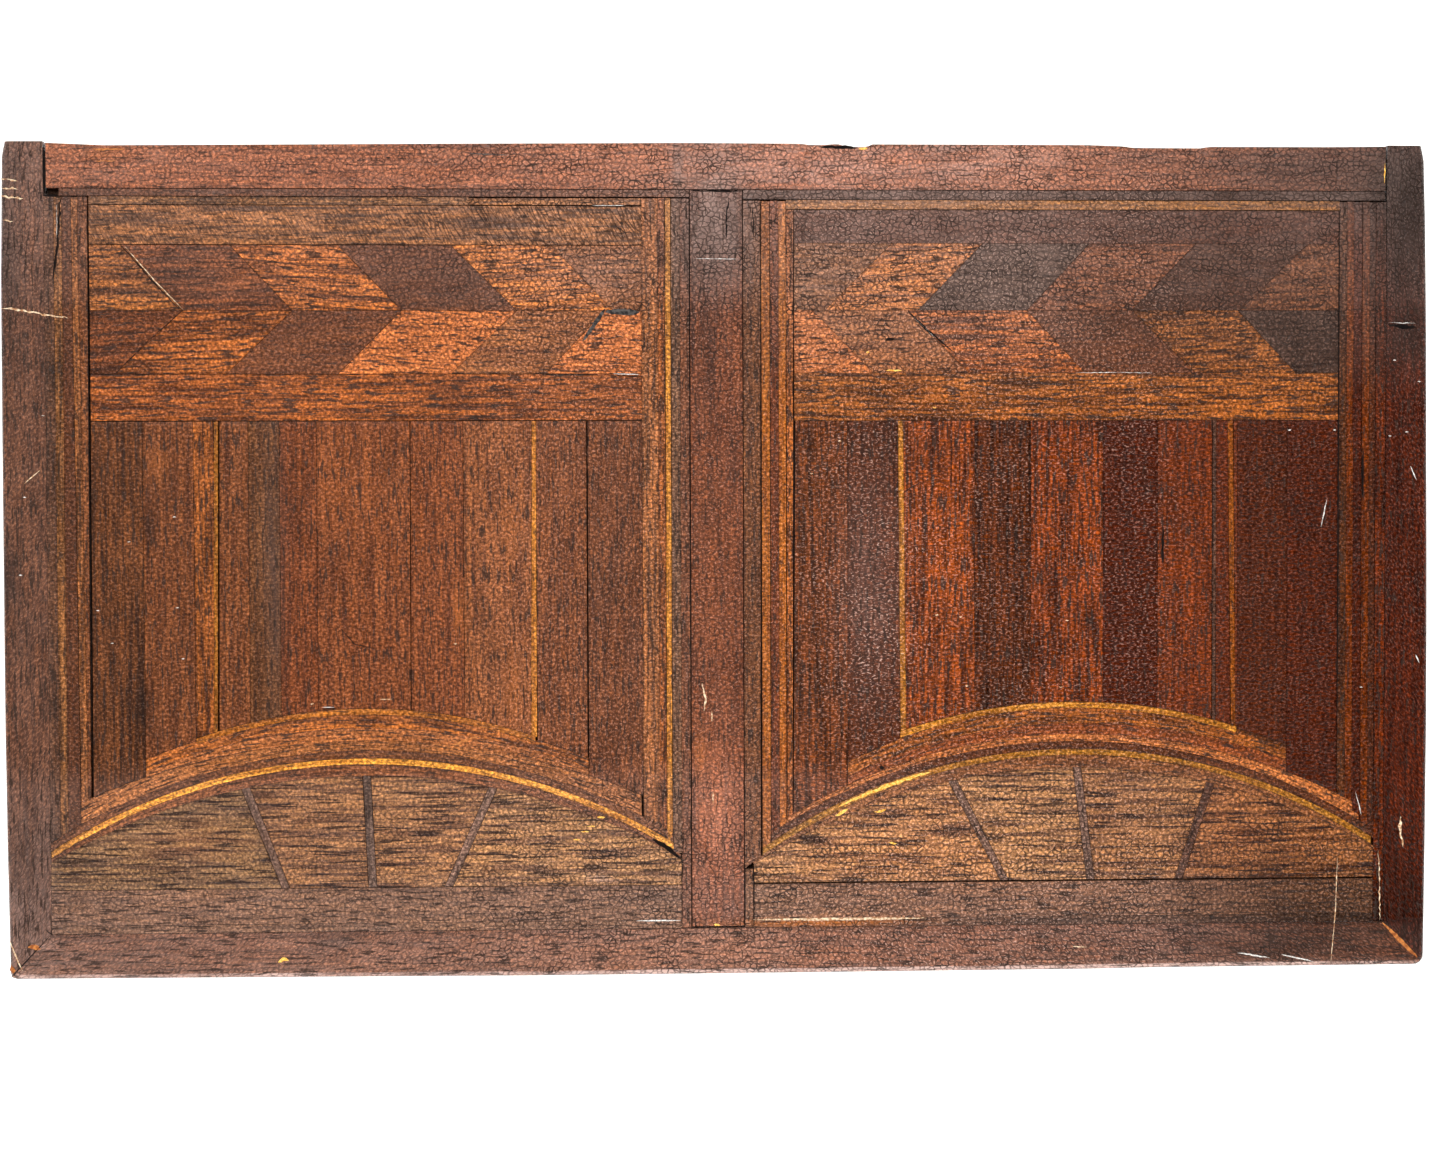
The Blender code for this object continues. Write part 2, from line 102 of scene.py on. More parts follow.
def chance(name: str) -> np.random.Generator:
    """A random source that is always the same for a name."""
    return np.random.default_rng(zlib.crc32(name.encode()))


def steps(points: Array) -> Array:
    """The distance from each point of a line to the next."""
    return np.hypot(*np.diff(points, axis=0).T)


def turned(place: Array, degrees: float) -> tuple[Array, Array]:
    """How far a place lies along a direction, given as an angle from x, and across it."""
    turn = math.radians(degrees)
    x, y = place[..., 0], place[..., 1]
    return x * math.cos(turn) + y * math.sin(turn), y * math.cos(turn) - x * math.sin(turn)


def add(
    tree: bpy.types.NodeTree, kind: str, links: dict | None = None, **settings: object
) -> bpy.types.Node:
    """Add a node with its settings and links.

    Args:
        tree: The node tree that takes it.
        kind: Blender's name for the node.
        links: For each input, by name or number, the socket that feeds it or its value.
        settings: The node's own properties.

    Returns:
        The new node.
    """
    node = tree.nodes.new(kind)
    for key, value in settings.items():
        setattr(node, key, value)
    for socket, value in (links or {}).items():
        if isinstance(value, bpy.types.NodeSocket):
            tree.links.new(value, node.inputs[socket])
        else:
            node.inputs[socket].default_value = value
    return node


@dataclass(frozen=True)
class Nodes:
    """The node tree of a material or of the world, with short ways to write it."""

    tree: bpy.types.NodeTree

    @classmethod
    def of(cls, owner: bpy.types.Material | bpy.types.World) -> "Nodes":
        """The emptied tree of a material or of the world."""
        owner.use_nodes = True
        owner.node_tree.nodes.clear()
        return cls(owner.node_tree)

    def map(self, name: str) -> Socket:
        """The place in one of the mesh's UV maps."""
        return add(self.tree, "ShaderNodeUVMap", uv_map=name).outputs["UV"]

    def values(self, name: str) -> Sequence[Socket]:
        """The three values of one of the mesh's point attributes."""
        vector = add(self.tree, "ShaderNodeAttribute", attribute_name=name).outputs["Vector"]
        return add(self.tree, "ShaderNodeSeparateXYZ", {0: vector}).outputs

    def sum(self, operation: str, *values: Socket | float) -> Socket:
        """The result of a sum on sockets or numbers."""
        links = dict(enumerate(values))
        return add(self.tree, "ShaderNodeMath", links, operation=operation).outputs[0]

    def times(self, *values: Socket | float) -> Socket:
        """The product of the first two values, plus the third if there is one."""
        return self.sum("MULTIPLY_ADD" if len(values) > 2 else "MULTIPLY", *values)

    def vector(self, operation: str, *values: Socket | tuple, **named: Socket) -> Socket:
        """The result of a sum on vectors."""
        links = dict(enumerate(values)) | named
        return add(self.tree, "ShaderNodeVectorMath", links, operation=operation).outputs[0]

    def mix(self, share: Socket, first: Socket | tuple, second: Socket | tuple) -> Socket:
        """The colour that lies the given share of the way from the first to the second."""
        links = {0: share, 6: first, 7: second}
        mixed = add(self.tree, "ShaderNodeMix", links, data_type="RGBA", clamp_factor=True)
        return mixed.outputs[2]

    def band(self, value: Socket, low: float, high: float, ends: Pair = (0.0, 1.0)) -> Socket:
        """A value eased from one end at low to the other at high."""
        links = {"Value": value, "From Min": low, "From Max": high}
        links |= {"To Min": ends[0], "To Max": ends[1]}
        eased = add(self.tree, "ShaderNodeMapRange", links, interpolation_type="SMOOTHSTEP")
        return eased.outputs[0]

    def noise(self, at: Socket, size: Pair, detail: float, waver: float = 0.0) -> Socket:
        """Soft noise whose features have a length and a width in mm."""
        at = self.vector("MULTIPLY", at, (1 / (size[0] * MM), 1 / (size[1] * MM), 1.0))
        links = {"Vector": at, "Scale": 1.0, "Detail": detail, "Roughness": 0.6}
        links["Distortion"] = waver
        return add(self.tree, "ShaderNodeTexNoise", links, noise_dimensions="2D").outputs[0]

    def crazing(self) -> Socket:
        """The distance to the nearest edge of the crazed film's cells, in cells."""
        cell = self.map("cell")
        waver = {"Vector": cell, "Scale": 0.7, "Detail": 1.0}
        waver = add(self.tree, "ShaderNodeTexNoise", waver, noise_dimensions="2D").outputs[1]
        at = self.vector("MULTIPLY_ADD", waver, (0.9, 1.1, 0.0), cell)
        links = {"Vector": at, "Scale": 1.0, "Randomness": 1.0}
        ways = {"feature": "DISTANCE_TO_EDGE", "voronoi_dimensions": "2D"}
        return add(self.tree, "ShaderNodeTexVoronoi", links, **ways).outputs["Distance"]

    def surface(self, inputs: dict) -> None:
        """End a material with a surface that has those inputs."""
        shader = add(self.tree, "ShaderNodeBsdfPrincipled", inputs)
        add(self.tree, "ShaderNodeOutputMaterial", {"Surface": shader.outputs[0]})


# What lies on every varnished timber: orange where it is worn, grime, haze that is partly the
# shellac's bloom and partly painted glare, the crazing's lines, and painted highlights on its rims
ORANGE, GRIME, HAZE_AND_GLARE = linear("#c8702a"), linear("#17110e"), linear("#c8a69a")
CRACK, RIM_HIGHLIGHT = linear("#241b17"), linear("#dcb8a8")
RED_SHIFT = (0.0, -0.5, -0.8)  # What the shellac takes from red, green and blue where it is deep
RELIEF = 0.00012  # The film's relief, in metres
# The length and width in mm of soft patches, sparks, stains and places where the crazing is faint
PATCH, SPARK, STAIN, FAINT = (16.0, 5.0), (0.8, 0.64), (21.0, 26.0), (7.0, 5.0)


@dataclass(frozen=True)
class Varnished:
    """A timber under old varnish: mottle, streaks and pores along its grain, and a crazed film."""

    name: str  # What the real surface is
    dark: str
    light: str
    streak: Pair = (28.0, 1.0)  # Length and width of a streak, in mm
    mottle: float = 0.25  # How much of light and dark is in soft patches and not in streaks
    edge: Pair = (0.22, 0.78)  # The noise values where dark ends and light starts
    pore: str = "#352822"
    pore_size: Pair = (5.0, 0.75)  # Length and width of a pore, in mm
    pores: float = 0.5  # How much of the surface is pores, from 0 to 1
    ridge: float = 0.25  # How high light streaks stand over dark ones, beside the film's relief
    rough: float = 0.2
    craze: float = 0.8  # How dark the crazing's lines are, from 0 to 1

    @cache
    def material(self) -> bpy.types.Material:
        """Build the timber's material once.

        Returns:
            The material, which reads the grain and lay maps and the look and film of its piece.
        """
        material = bpy.data.materials.new(self.name)
        n = Nodes.of(material)
        grain, lay = n.map("grain"), n.map("lay")
        shade, warmth, bloom = n.values("look")
        net, glint, depth = n.values("film")

        # The wood: streaks and patches of light and dark, and pores that gather in the patches
        streak = n.noise(grain, self.streak, 3.0, 0.3)
        patch = n.noise(grain, PATCH, 3.0, 0.8)
        share = n.times(patch, self.mottle, n.times(streak, 1 - self.mottle))
        light_share = n.band(share, *self.edge)
        pore = n.times(patch, 0.16, n.noise(grain, self.pore_size, 1.0))
        pore = n.band(pore, 0.79 - 0.2 * self.pores, 0.86 - 0.2 * self.pores)
        wood = n.mix(light_share, linear(self.dark), linear(self.light))

        # The shellac: fine speckle of tone in it, partly its own and partly painted sparkle of
        # light, raised to a power so that a few points are bright, and the red it gives the wood
        # where it is deep
        spark = n.noise(lay, SPARK, 3.0)
        tone = n.times(n.sum("POWER", n.times(spark, 2.0), 2.1), shade)
        shellac = n.vector("MULTIPLY_ADD", depth, RED_SHIFT, (1.0, 1.0, 1.0))
        wood = n.vector("MULTIPLY", wood, n.vector("SCALE", shellac, Scale=tone))

        # Wear and grime, haze (partly the shellac's bloom, partly painted glare), and pores over
        # them
        stain = n.band(n.noise(lay, STAIN, 2.0, 0.5), 0.56, 0.72)
        grimy = n.times(stain, 0.2, n.sum("MAXIMUM", n.times(warmth, -1.0), 0.0))
        wood = n.mix(n.sum("MAXIMUM", warmth, 0.0), wood, ORANGE)
        wood = n.mix(grimy, wood, GRIME)
        wood = n.mix(n.times(bloom, n.times(patch, 1.6, 0.2)), wood, HAZE_AND_GLARE)
        wood = n.mix(n.times(pore, 0.6 + 0.35 * self.pores), wood, linear(self.pore))

        # The crazing's dark lines, and painted highlights on the rims beside them
        edge = n.crazing()
        line = n.times(n.band(edge, 0.21, 0.05), net)
        line = n.times(line, n.times(n.noise(lay, FAINT, 2.0), 1.5, -0.05))
        wood = n.mix(n.times(line, self.craze), wood, CRACK)
        rim = n.times(n.times(n.band(edge, 0.1, 0.17), n.band(edge, 0.3, 0.2)), glint)
        wood = n.mix(n.times(rim, n.band(spark, 0.5, 0.62)), wood, RIM_HIGHLIGHT)

        height = n.times(n.band(edge, 0.0, 0.25), net)
        height = n.times(pore, -0.7 * self.pores, height)
        height = n.times(spark, 0.7, height)
        height = n.times(light_share, 3 * self.ridge, height)
        bump = {"Strength": 1.0, "Distance": RELIEF, "Height": height}
        n.surface(
            {
                "Base Color": wood,
                "Roughness": n.times(spark, 0.12, self.rough),
                "Normal": add(n.tree, "ShaderNodeBump", bump).outputs["Normal"],
                "IOR": 1.5,
                "Specular IOR Level": 0.3,
            }
        )
        return material


class Craze(Enum):
    """How the film crazed: its cells' length and width in mm, and their length's angle from x."""

    NET = (1.4, 1.15, 0.0)
    FINE = (1.7, 0.8, 90.0)
    WRINKLE = (2.7, 0.85, 0.0)
    SLANT = (4.5, 0.9, 120.0)

    def cells(self, place: Array) -> Array:
        """A place in mm, turned back by the angle and divided by the cells' length and width."""
        length, width, angle = self.value
        run, rise = turned(place, angle)
        return np.stack([run / length, rise / width], -1)


class Wood(Enum):
    """The timbers of the chest, all with the shellac's amber and fine pores along the grain."""

    # Mahogany, quarter sawn and polished with shellac: even red brown with short dark pores
    FRAME = Varnished(
        "shellacked_mahogany_frame", "#3c2216", "#6b4028", pores=0.6, pore_size=(6.0, 0.75)
    )
    CENTRE = Varnished("shellacked_mahogany_stile", "#4b2413", "#8a4926", pores=0.35)
    BACK = Varnished(
        "shellacked_mahogany_rail", "#5c2e17", "#9c5630", pores=0.35, pore_size=(6.0, 0.75)
    )
    SIDE = Varnished("dark_mahogany_edging", "#2c0e05", "#5a240f", pores=0.4)
    # Rosewood, sliced: chocolate brown that takes the varnish darker than its neighbours
    ROSEWOOD = Varnished("varnished_rosewood", "#3a1a0d", "#522610", pores=0.2)
    # Padauk, sliced: orange red with open dark pores in clusters
    PADAUK = Varnished(
        "varnished_padauk", "#4e240e", "#b25a20", pores=0.65, mottle=0.35, edge=(0.34, 0.66)
    )
    BRIGHT = Varnished("varnished_orange_padauk", "#7c3e1b", "#c86b33", pores=0.65)
    # Walnut, sliced: olive brown with dark streaks
    WALNUT = Varnished("varnished_walnut", "#3a1f0e", "#7c4722", pores=0.45, edge=(0.34, 0.66))
    # Mahogany, sliced: red brown, with the dark pores of the frame's
    RED = Varnished("varnished_red_mahogany", "#522a16", "#905028")
    # Streaked rosewood sapwood, sliced: tan, with long blue-black vessel lines that lie low
    STREAKED = Varnished(
        "streaked_rosewood_fan",
        "#64391f",
        "#b07040",
        (22.0, 1.3),
        mottle=0.1,
        edge=(0.34, 0.62),
        pore="#1e1618",
        pore_size=(12.0, 0.8),
        pores=0.62,
        ridge=0.4,
    )
    # Satinwood stringing: straight-grained gold
    SATINWOOD = Varnished(
        "satinwood_stringing", "#84460f", "#d08028", streak=(18.0, 0.9), pores=0.2, craze=0.5
    )
    # Stringing stained amber by the shellac
    AMBER = Varnished(
        "amber_stained_stringing", "#6c350d", "#b9661c", streak=(18.0, 0.9), pores=0.3, craze=0.5
    )
    # Dyed black veneer, faded to a bluish brown
    EBONISED = Varnished("ebonised_lamination", "#17100e", "#48281a", pores=0.2)
    # The fans' rays, dyed and faded to a greyish brown
    GREYED = Varnished("greyed_ray_lamination", "#2e1b12", "#6c4838", pores=0.3)
    # The bare secondary timber of the lid's ground and the case's bottom
    GROUND = Varnished("aged_ground_board", "#2a1a10", "#4a3222", pores=0.3, rough=0.7, craze=0.0)
    # The case, in the frame's mahogany with a plainer polish
    CASE = Varnished(
        "shellacked_mahogany_case", "#3c1d0e", "#74401f", pores=0.4, streak=(80.0, 3.0)
    )


# A timber with its shade, which is how bright it is beside others of its kind, and its depth, which
# is how much deeper or, below 0, fainter the shellac's red lies over it
Tone = tuple[Wood, float, float]


@dataclass(frozen=True)
class Blot:
    """A soft-edged change of tone on the lid: gathered varnish, dirt or wear, some with painted
    glare.
    """

    x: float  # Its middle, in lid mm
    y: float
    wide: float  # Its half-widths along x and y, in mm
    deep: float
    shade: float = 1.0  # What it multiplies the wood's brightness by
    warmth: float = 0.0  # How far it turns the wood to worn orange, or below 0 to grime
    bloom: float = 0.0  # How much greyish haze it adds, as bloom and, in some blots, painted glare and sheen


BLOT_ROWS = (
    # The knot and the dark patches of the left-hand staves
    (-138, 17, 3.5, 5, 0.75), (-140, 9, 1.6, 4, 0.45, -0.3), (-138, 24, 3, 4, 1.2, 0.12),
    (-142, -34, 1.8, 5, 0.5, -0.3), (-163.5, -35, 1.5, 2.5, 0.5, -0.3),
    (-174, -4, 2.2, 8, 0.5, -0.4), (-173, 68, 2.5, 14, 0.65, -0.3),
    (-174.5, 84, 2.2, 18, 0.5, -0.35), (-162, -67, 5, 5, 0.7, -0.12), (-163, 46, 1.3, 5, 0.5, -0.3),
    (-172, 96, 3, 5, 0.75, -0.2), (-109.8, 0, 2.6, 32, 0.72, -0.2, 0.05),
    (-65, -12, 1.4, 6, 1.3, 0.3), (-52, 10, 3.5, 6, 1.1, 0.15), (-52, -30, 3.5, 10, 1.1, 0.15),
    (-92, 20, 12, 14, 1.08, 0.05), (-40, -10, 4, 30, 0.95),
    # Hazy places, the haze partly painted glare, and dark places of the chevron band
    (-119, 70, 9, 5, 1.1, 0.05), (-35, 70, 14, 5, 0.95, 0, 0.1), (-30, 65, 6, 4, 1.1, 0.15),
    # The centre stile: a dark end at the back, its haze partly painted glare, a red middle, and a
    # strip beside its front
    (-1.7, 82, 8, 14, 0.2, -0.25, 0.25), (-4, 46, 2.5, 16, 0.75, -0.1), (-2, 0, 6, 30, 1.05, 0.03),
    (-6, -48, 1.2, 5, 1.3, 0.35), (-2, -64, 6, 24, 1.85, 0.04, 0.06),
    (22, -89.7, 22, 0.9, 0.9, 0.7, -0.1), (2.5, -30, 2, 30, 0.85),
    # The dark crazed gloss of the right-hand back corner
    (170, 82, 8, 20, 0.3, -0.6, -0.03), (174, 92, 12, 14, 0.7, -0.2, -0.05),
    # A painted grey sheen over the second right-hand stave, and dark places of the right-hand
    # back corner
    (36, -6, 8, 26, 1, 0, 0.1), (166, 92, 9, 7, 0.6, -0.25), (150, 95, 22, 6, 0.8, -0.05),
    (130, 70, 16, 10, 0.9), (125, 82, 26, 4, 0.85), (170, 55, 5, 5, 0.6, -0.3),
    # The back strip, its lighter, hazier middle partly painted glare
    (-40, 97, 18, 4, 1.08, 0.04), (-11, 96, 1.3, 6, 0.5, -0.4, 0.1), (-58, 100, 8, 2, 0.75, -0.15),
    (20, 97, 50, 8, 1.4, 0, 0.16), (150, 97, 34, 7, 0.24), (-45, 97, 40, 5, 1.1),
    (-150, 99, 7, 1, 1.25, 0.2),
    # The dark smear and scuffs of the front edging
    (-95, -93, 6, 1.2, 0.6, -0.3), (-146, -97, 20, 5, 0.8, -0.1), (140, -98, 13, 3, 0.8, -0.25),
    (150, -90, 38, 13, 0.38), (60, -97, 40, 4, 0.95), (0, -97, 60, 5, 1.6, 0.06),
    (-105, -97, 45, 6, 1.1), (170, -60, 5, 30, 1.25), (-170, -80, 6, 20, 0.55, 0, 0.05),
    # Worn bright places of the fans and the base bands
    (-130, -68, 16, 5, 1.15, 0.12), (-60, -70, 16, 6, 1.05, 0.05), (40, -72, 22, 6, 1.1, 0.08),
    (-31, -78, 3, 0.8, 1.2, 0, 0.3), (130, -70, 20, 8, 1.2),
)
BLOTS = [Blot(*row) for row in BLOT_ROWS]


class Lid:
    """The state of the lid's surface: its height, its tone and its crazing at each place."""

    def height(self, x: Array, y: Array) -> Array:
        """The surface's height in mm: the lid's top less up to 0.1 mm of slow waves in x and y."""
        waves = (
            np.sin(x / 23.0 + 1.1) * np.sin(y / 17.0 + 0.4)
            + 0.6 * np.sin(x / 7.3 + y / 11.0)
            + 0.4 * np.sin(y / 4.1 - x / 19.0 + 2.0)
        )
        return LID_TOP - 0.08 + 0.02 * waves

    def look(self, x: Array, y: Array) -> Array:
        """The shade, the warmth, and the haze of bloom and painted glare at each place.

        Each blot counts by exp(-r²), with r the distance from its middle over its reach. The shade
        is the product of the blots' shades to that power, and the others are sums.

        Args:
            x: Places along the lid, in mm.
            y: Places across the lid, in mm.

        Returns:
            An array with the three values last.
        """
        shade, warmth = np.ones_like(x), np.zeros_like(x)
        # A thin haze, partly bloom and partly painted glare, less on the right-hand staves, more at
        # the back, on the right-hand chevrons and in the middle
        bloom = 0.02 - 0.02 * smooth(x, 5, 25) * smooth(-y, -50, -36) + 0.07 * smooth(y, 60, 100)
        bloom += 0.1 * smooth(y, 42, 60) * smooth(x, 0, 25) * (1 - 0.7 * smooth(x, 70, 100))
        bloom += 0.02 * smooth(x, -80, -45) * (1 - smooth(x, 5, 30))
        # More over the back third, the left edging and the front edging
        bloom += 0.04 * smooth(y, 60, 66) + 0.04 * smooth(-x, 163, 165) + 0.04 * smooth(-y, 90, 92)
        # More over the fans and over the bands under them
        fans = 0.06 * smooth(-y, 48, 56) + 0.05 * smooth(-y, 76, 82)
        bloom += fans * (1 - smooth(x, 100, 150))
        for blot in BLOTS:
            share = np.exp(-(((x - blot.x) / blot.wide) ** 2) - ((y - blot.y) / blot.deep) ** 2)
            shade = shade * blot.shade**share
            warmth += blot.warmth * share
            bloom += blot.bloom * share
        return np.stack([shade, warmth, bloom], -1)

    def film(self, x: Array, y: Array) -> Array:
        """How strongly the crazing and the painted highlights on its rims show at each place, and
        the shellac's depth.

        Crazing and rim highlights are strong on the right and at the back, and the highlights come
        in
        soft patches about 20 mm across: products of sines of x and y.

        Args:
            x: Places along the lid, in mm.
            y: Places across the lid, in mm.

        Returns:
            An array with the three values last.
        """
        net = 0.4 + 0.35 * smooth(x, -110, -20) + 0.35 * smooth(y, 35, 75)
        net += 0.3 * smooth(-y, 45, 75)
        patch = 0.5 + 0.5 * np.sin(x / 7.1 + np.sin(y / 9.0) * 1.7) * np.sin(y / 8.3 + x / 29.0)
        # Painted rim highlights show most in a painted sheen over the second right-hand stave, and
        # on the right-hand fan
        sheen = np.exp(-(((x - 34) / 14) ** 2) - ((y + 8) / 28) ** 2)
        rim_highlights = 0.16 + 0.2 * smooth(x, 5, 30) * patch + 0.5 * sheen * (0.5 + 0.5 * patch)
        rim_highlights += 0.15 * smooth(x, -20, 30) * smooth(-y, 50, 80)
        # They are few on the right edging's front part, on the right and on the left
        rim_highlights *= 1 - 0.8 * smooth(x, 160, 166) * smooth(-y, 20, 50)
        rim_highlights *= 1 - 0.7 * smooth(x, 100, 120)
        rim_highlights *= 0.5 + 0.8 * smooth(x, -66, -46) - 0.2 * smooth(x, 0, 20)
        depth = 0.25 * smooth(x, -20, 60) * (1 - smooth(y, 30, 60))
        return np.stack([np.clip(net, 0, 1), np.clip(rim_highlights, 0, 1), depth], -1)


LID = Lid()


@dataclass
class Sheets:
    """Grids of points that together close one mesh, each with its own maps."""

    craze: Craze = Craze.NET  # How the film over them crazed
    points: list[Array] = field(default_factory=list)  # Blocks of points, in mm
    quads: list[Array] = field(default_factory=list)  # Blocks of four point numbers each
    maps: list[Array] = field(default_factory=list)  # The maps of their corners
    caps: list[tuple[Array, Array]] = field(default_factory=list)  # Faces of many corners

    def add_points(self, block: Array) -> Array:
        """Take a block of points and return their numbers, in the block's own shape."""
        first = sum(map(len, self.points))
        self.points.append(block.reshape(-1, 3))
        return np.arange(first, first + block[..., 0].size).reshape(block.shape[:-1])

    def add_grid(self, numbers: Array, grain: Array, lay: Array) -> None:
        """Join a grid's neighbours: each face takes (i, j), (i+1, j), (i+1, j+1) and (i, j+1)."""
        part = (slice(None, -1), slice(1, None))
        order = ((0, 0), (1, 0), (1, 1), (0, 1))
        maps = np.concatenate([grain, lay, self.craze.cells(lay / MM)], -1)
        corners = [(part[i], part[j]) for i, j in order]
        self.quads.append(np.stack([numbers[c] for c in corners], -1).reshape(-1, 4))
        self.maps.append(np.stack([maps[c] for c in corners], -2).reshape(-1, 6))

    def add_cap(self, numbers: Array, grain: Array, lay: Array) -> None:
        """Close a ring of points with one face."""
        self.caps.append((numbers, np.concatenate([grain, lay, self.craze.cells(lay / MM)], -1)))

    def add_tube(
        self, points: Array, maps: Array, caps: Sequence[tuple[Array, Array]]
    ) -> None:
        """Join rows of points, each of them a ring, and close the first and the last ring.

        Args:
            points: The rings.
            maps: The grain map and lay map of each ring, with its first point again at its end.
            caps: The grain map and the lay map of the first and of the last ring's face.
        """
        numbers = self.add_points(points)
        self.add_grid(np.concatenate([numbers, numbers[:, :1]], 1), maps, maps)
        for end, cap in zip((0, -1), caps):
            self.add_cap(numbers[end], *cap)

    def build(
        self, name: str, wood: "Varnished | Matter", soften: float = 40.0
    ) -> bpy.types.Object:
        """Make the mesh, with its faces outward, its maps and its finish.

        Args:
            name: The piece's name.
            wood: Its finish.
            soften: The angle in degrees under which neighbouring faces share their shading.

        Returns:
            The piece's object, at the origin.
        """
        mesh = bpy.data.meshes.new(name)
        points = np.concatenate(self.points)
        faces = np.concatenate(self.quads).tolist() + [ring.tolist() for ring, _ in self.caps]
        mesh.from_pydata((points * MM).tolist(), [], faces)
        maps = np.concatenate(self.maps + [m for _, m in self.caps]).astype(np.float32)
        for i, layer in enumerate(("grain", "lay", "cell")):
            part = maps[:, 2 * i : 2 * i + 2].ravel()
            mesh.uv_layers.new(name=layer).uv.foreach_set("vector", part)
        work = bmesh.new()
        work.from_mesh(mesh)
        bmesh.ops.recalc_face_normals(work, faces=work.faces)
        work.to_mesh(mesh)
        work.free()
        mesh.polygons.foreach_set("use_smooth", np.ones(len(mesh.polygons), bool))
        mesh.set_sharp_from_angle(angle=math.radians(soften))
        mesh.materials.append(wood.material())
        piece = bpy.data.objects.new(name, mesh)
        bpy.context.scene.collection.objects.link(piece)
        return piece


def paint(piece: bpy.types.Object, look: Array, film: Array) -> None:
    """Write the look and film of each point of a piece into its attributes."""
    for name, values in (("look", look), ("film", film)):
        layer = piece.data.attributes.new(name, "FLOAT_VECTOR", "POINT")
        layer.data.foreach_set("vector", values.astype(np.float32).ravel())


def place_points(piece: bpy.types.Object) -> Array:
    """The x, y and z of a piece's points, in mm."""
    points = np.empty(len(piece.data.vertices) * 3, np.float32)
    piece.data.vertices.foreach_get("co", points)
    return points.reshape(-1, 3).astype(float).T / MM


def register(piece: bpy.types.Object, nodes: Sequence[str]) -> None:
    """Let a piece ride on the chest and stand for its CAD nodes, and log it."""
    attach(piece, "root")
    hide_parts(*nodes)
    LOG.info("%s: %d faces, for %s", piece.name, len(piece.data.polygons), ", ".join(nodes))


@dataclass(frozen=True)
class Straight:
    """A straight edge in plan, from its start to its end, in lid mm."""

    start: Pair
    end: Pair

    def at(self, share: Array) -> Array:
        """The points that lie those shares of the way along."""
        start, end = np.array(self.start), np.array(self.end)
        return start + (end - start) * share[:, None]


def across(x: Pair, y: float) -> Straight:
    """A straight edge from one x to another."""
    return Straight((x[0], y), (x[1], y))


def along(x: float, y: Pair) -> Straight:
    """A straight edge from one y to another."""
    return Straight((x, y[0]), (x, y[1]))


def level(x: Pair, y: Pair) -> tuple[Straight, Straight]:
    """The near and the far edge of a rectangle."""
    return across(x, y[0]), across(x, y[1])


@dataclass(frozen=True)
class Bow:
    """An arch line in plan: a circle through its crown, looser on one side than on the other."""

    crown: Pair  # Its highest point
    radii: Pair  # Its radius left and right of the crown
    reach: Pair  # The x where it starts and ends

    def y(self, x: Array | float) -> Array:
        """Its y at an x: crown - (r - √(r² - d²)), with d the distance from the crown."""
        away = np.asarray(x, float) - self.crown[0]
        radius = np.where(away < 0, *self.radii)
        return self.crown[1] - radius + np.sqrt(radius**2 - away**2)

    def at(self, share: Array) -> Array:
        """The points at those shares of its run along x."""
        x = self.reach[0] + (self.reach[1] - self.reach[0]) * share
        return np.stack([x, self.y(x)], -1)

    def lower(self, by: float) -> "Bow":
        """The concentric line that lies by mm inside it."""
        crown = (self.crown[0], self.crown[1] - by)
        return Bow(crown, (self.radii[0] - by, self.radii[1] - by), self.reach)


@dataclass(frozen=True)
class Bent:
    """An edge in plan through several points, in lid mm."""

    points: Section

    @classmethod
    def through(cls, points: Array) -> "Bent":
        """The edge through an array of points."""
        return cls(tuple(map(tuple, points.tolist())))

    def at(self, share: Array) -> Array:
        """The points at those shares of its length."""
        points = np.array(self.points, float)
        run = np.r_[0, np.cumsum(steps(points))]
        return np.stack([np.interp(share * run[-1], run, axis) for axis in points.T], -1)


Edge = Straight | Bow | Bent


def stations(length: float, gaps: Pair) -> Array:
    """Shares along a length at which a slab has points.

    Args:
        length: The whole length, in mm.
        gaps: Room left at its start and at its end, in mm.

    Returns:
        The ends, the starts of the rounded arrises, and evenly spaced shares between those.
    """
    low, high = gaps[0], length - gaps[1]
    ease = min(ARRIS, (high - low) / 4)
    count = max(2, math.ceil((high - low - 2 * ease) / GRID) + 1)
    return np.r_[low, np.linspace(low + ease, high - ease, count), high] / length


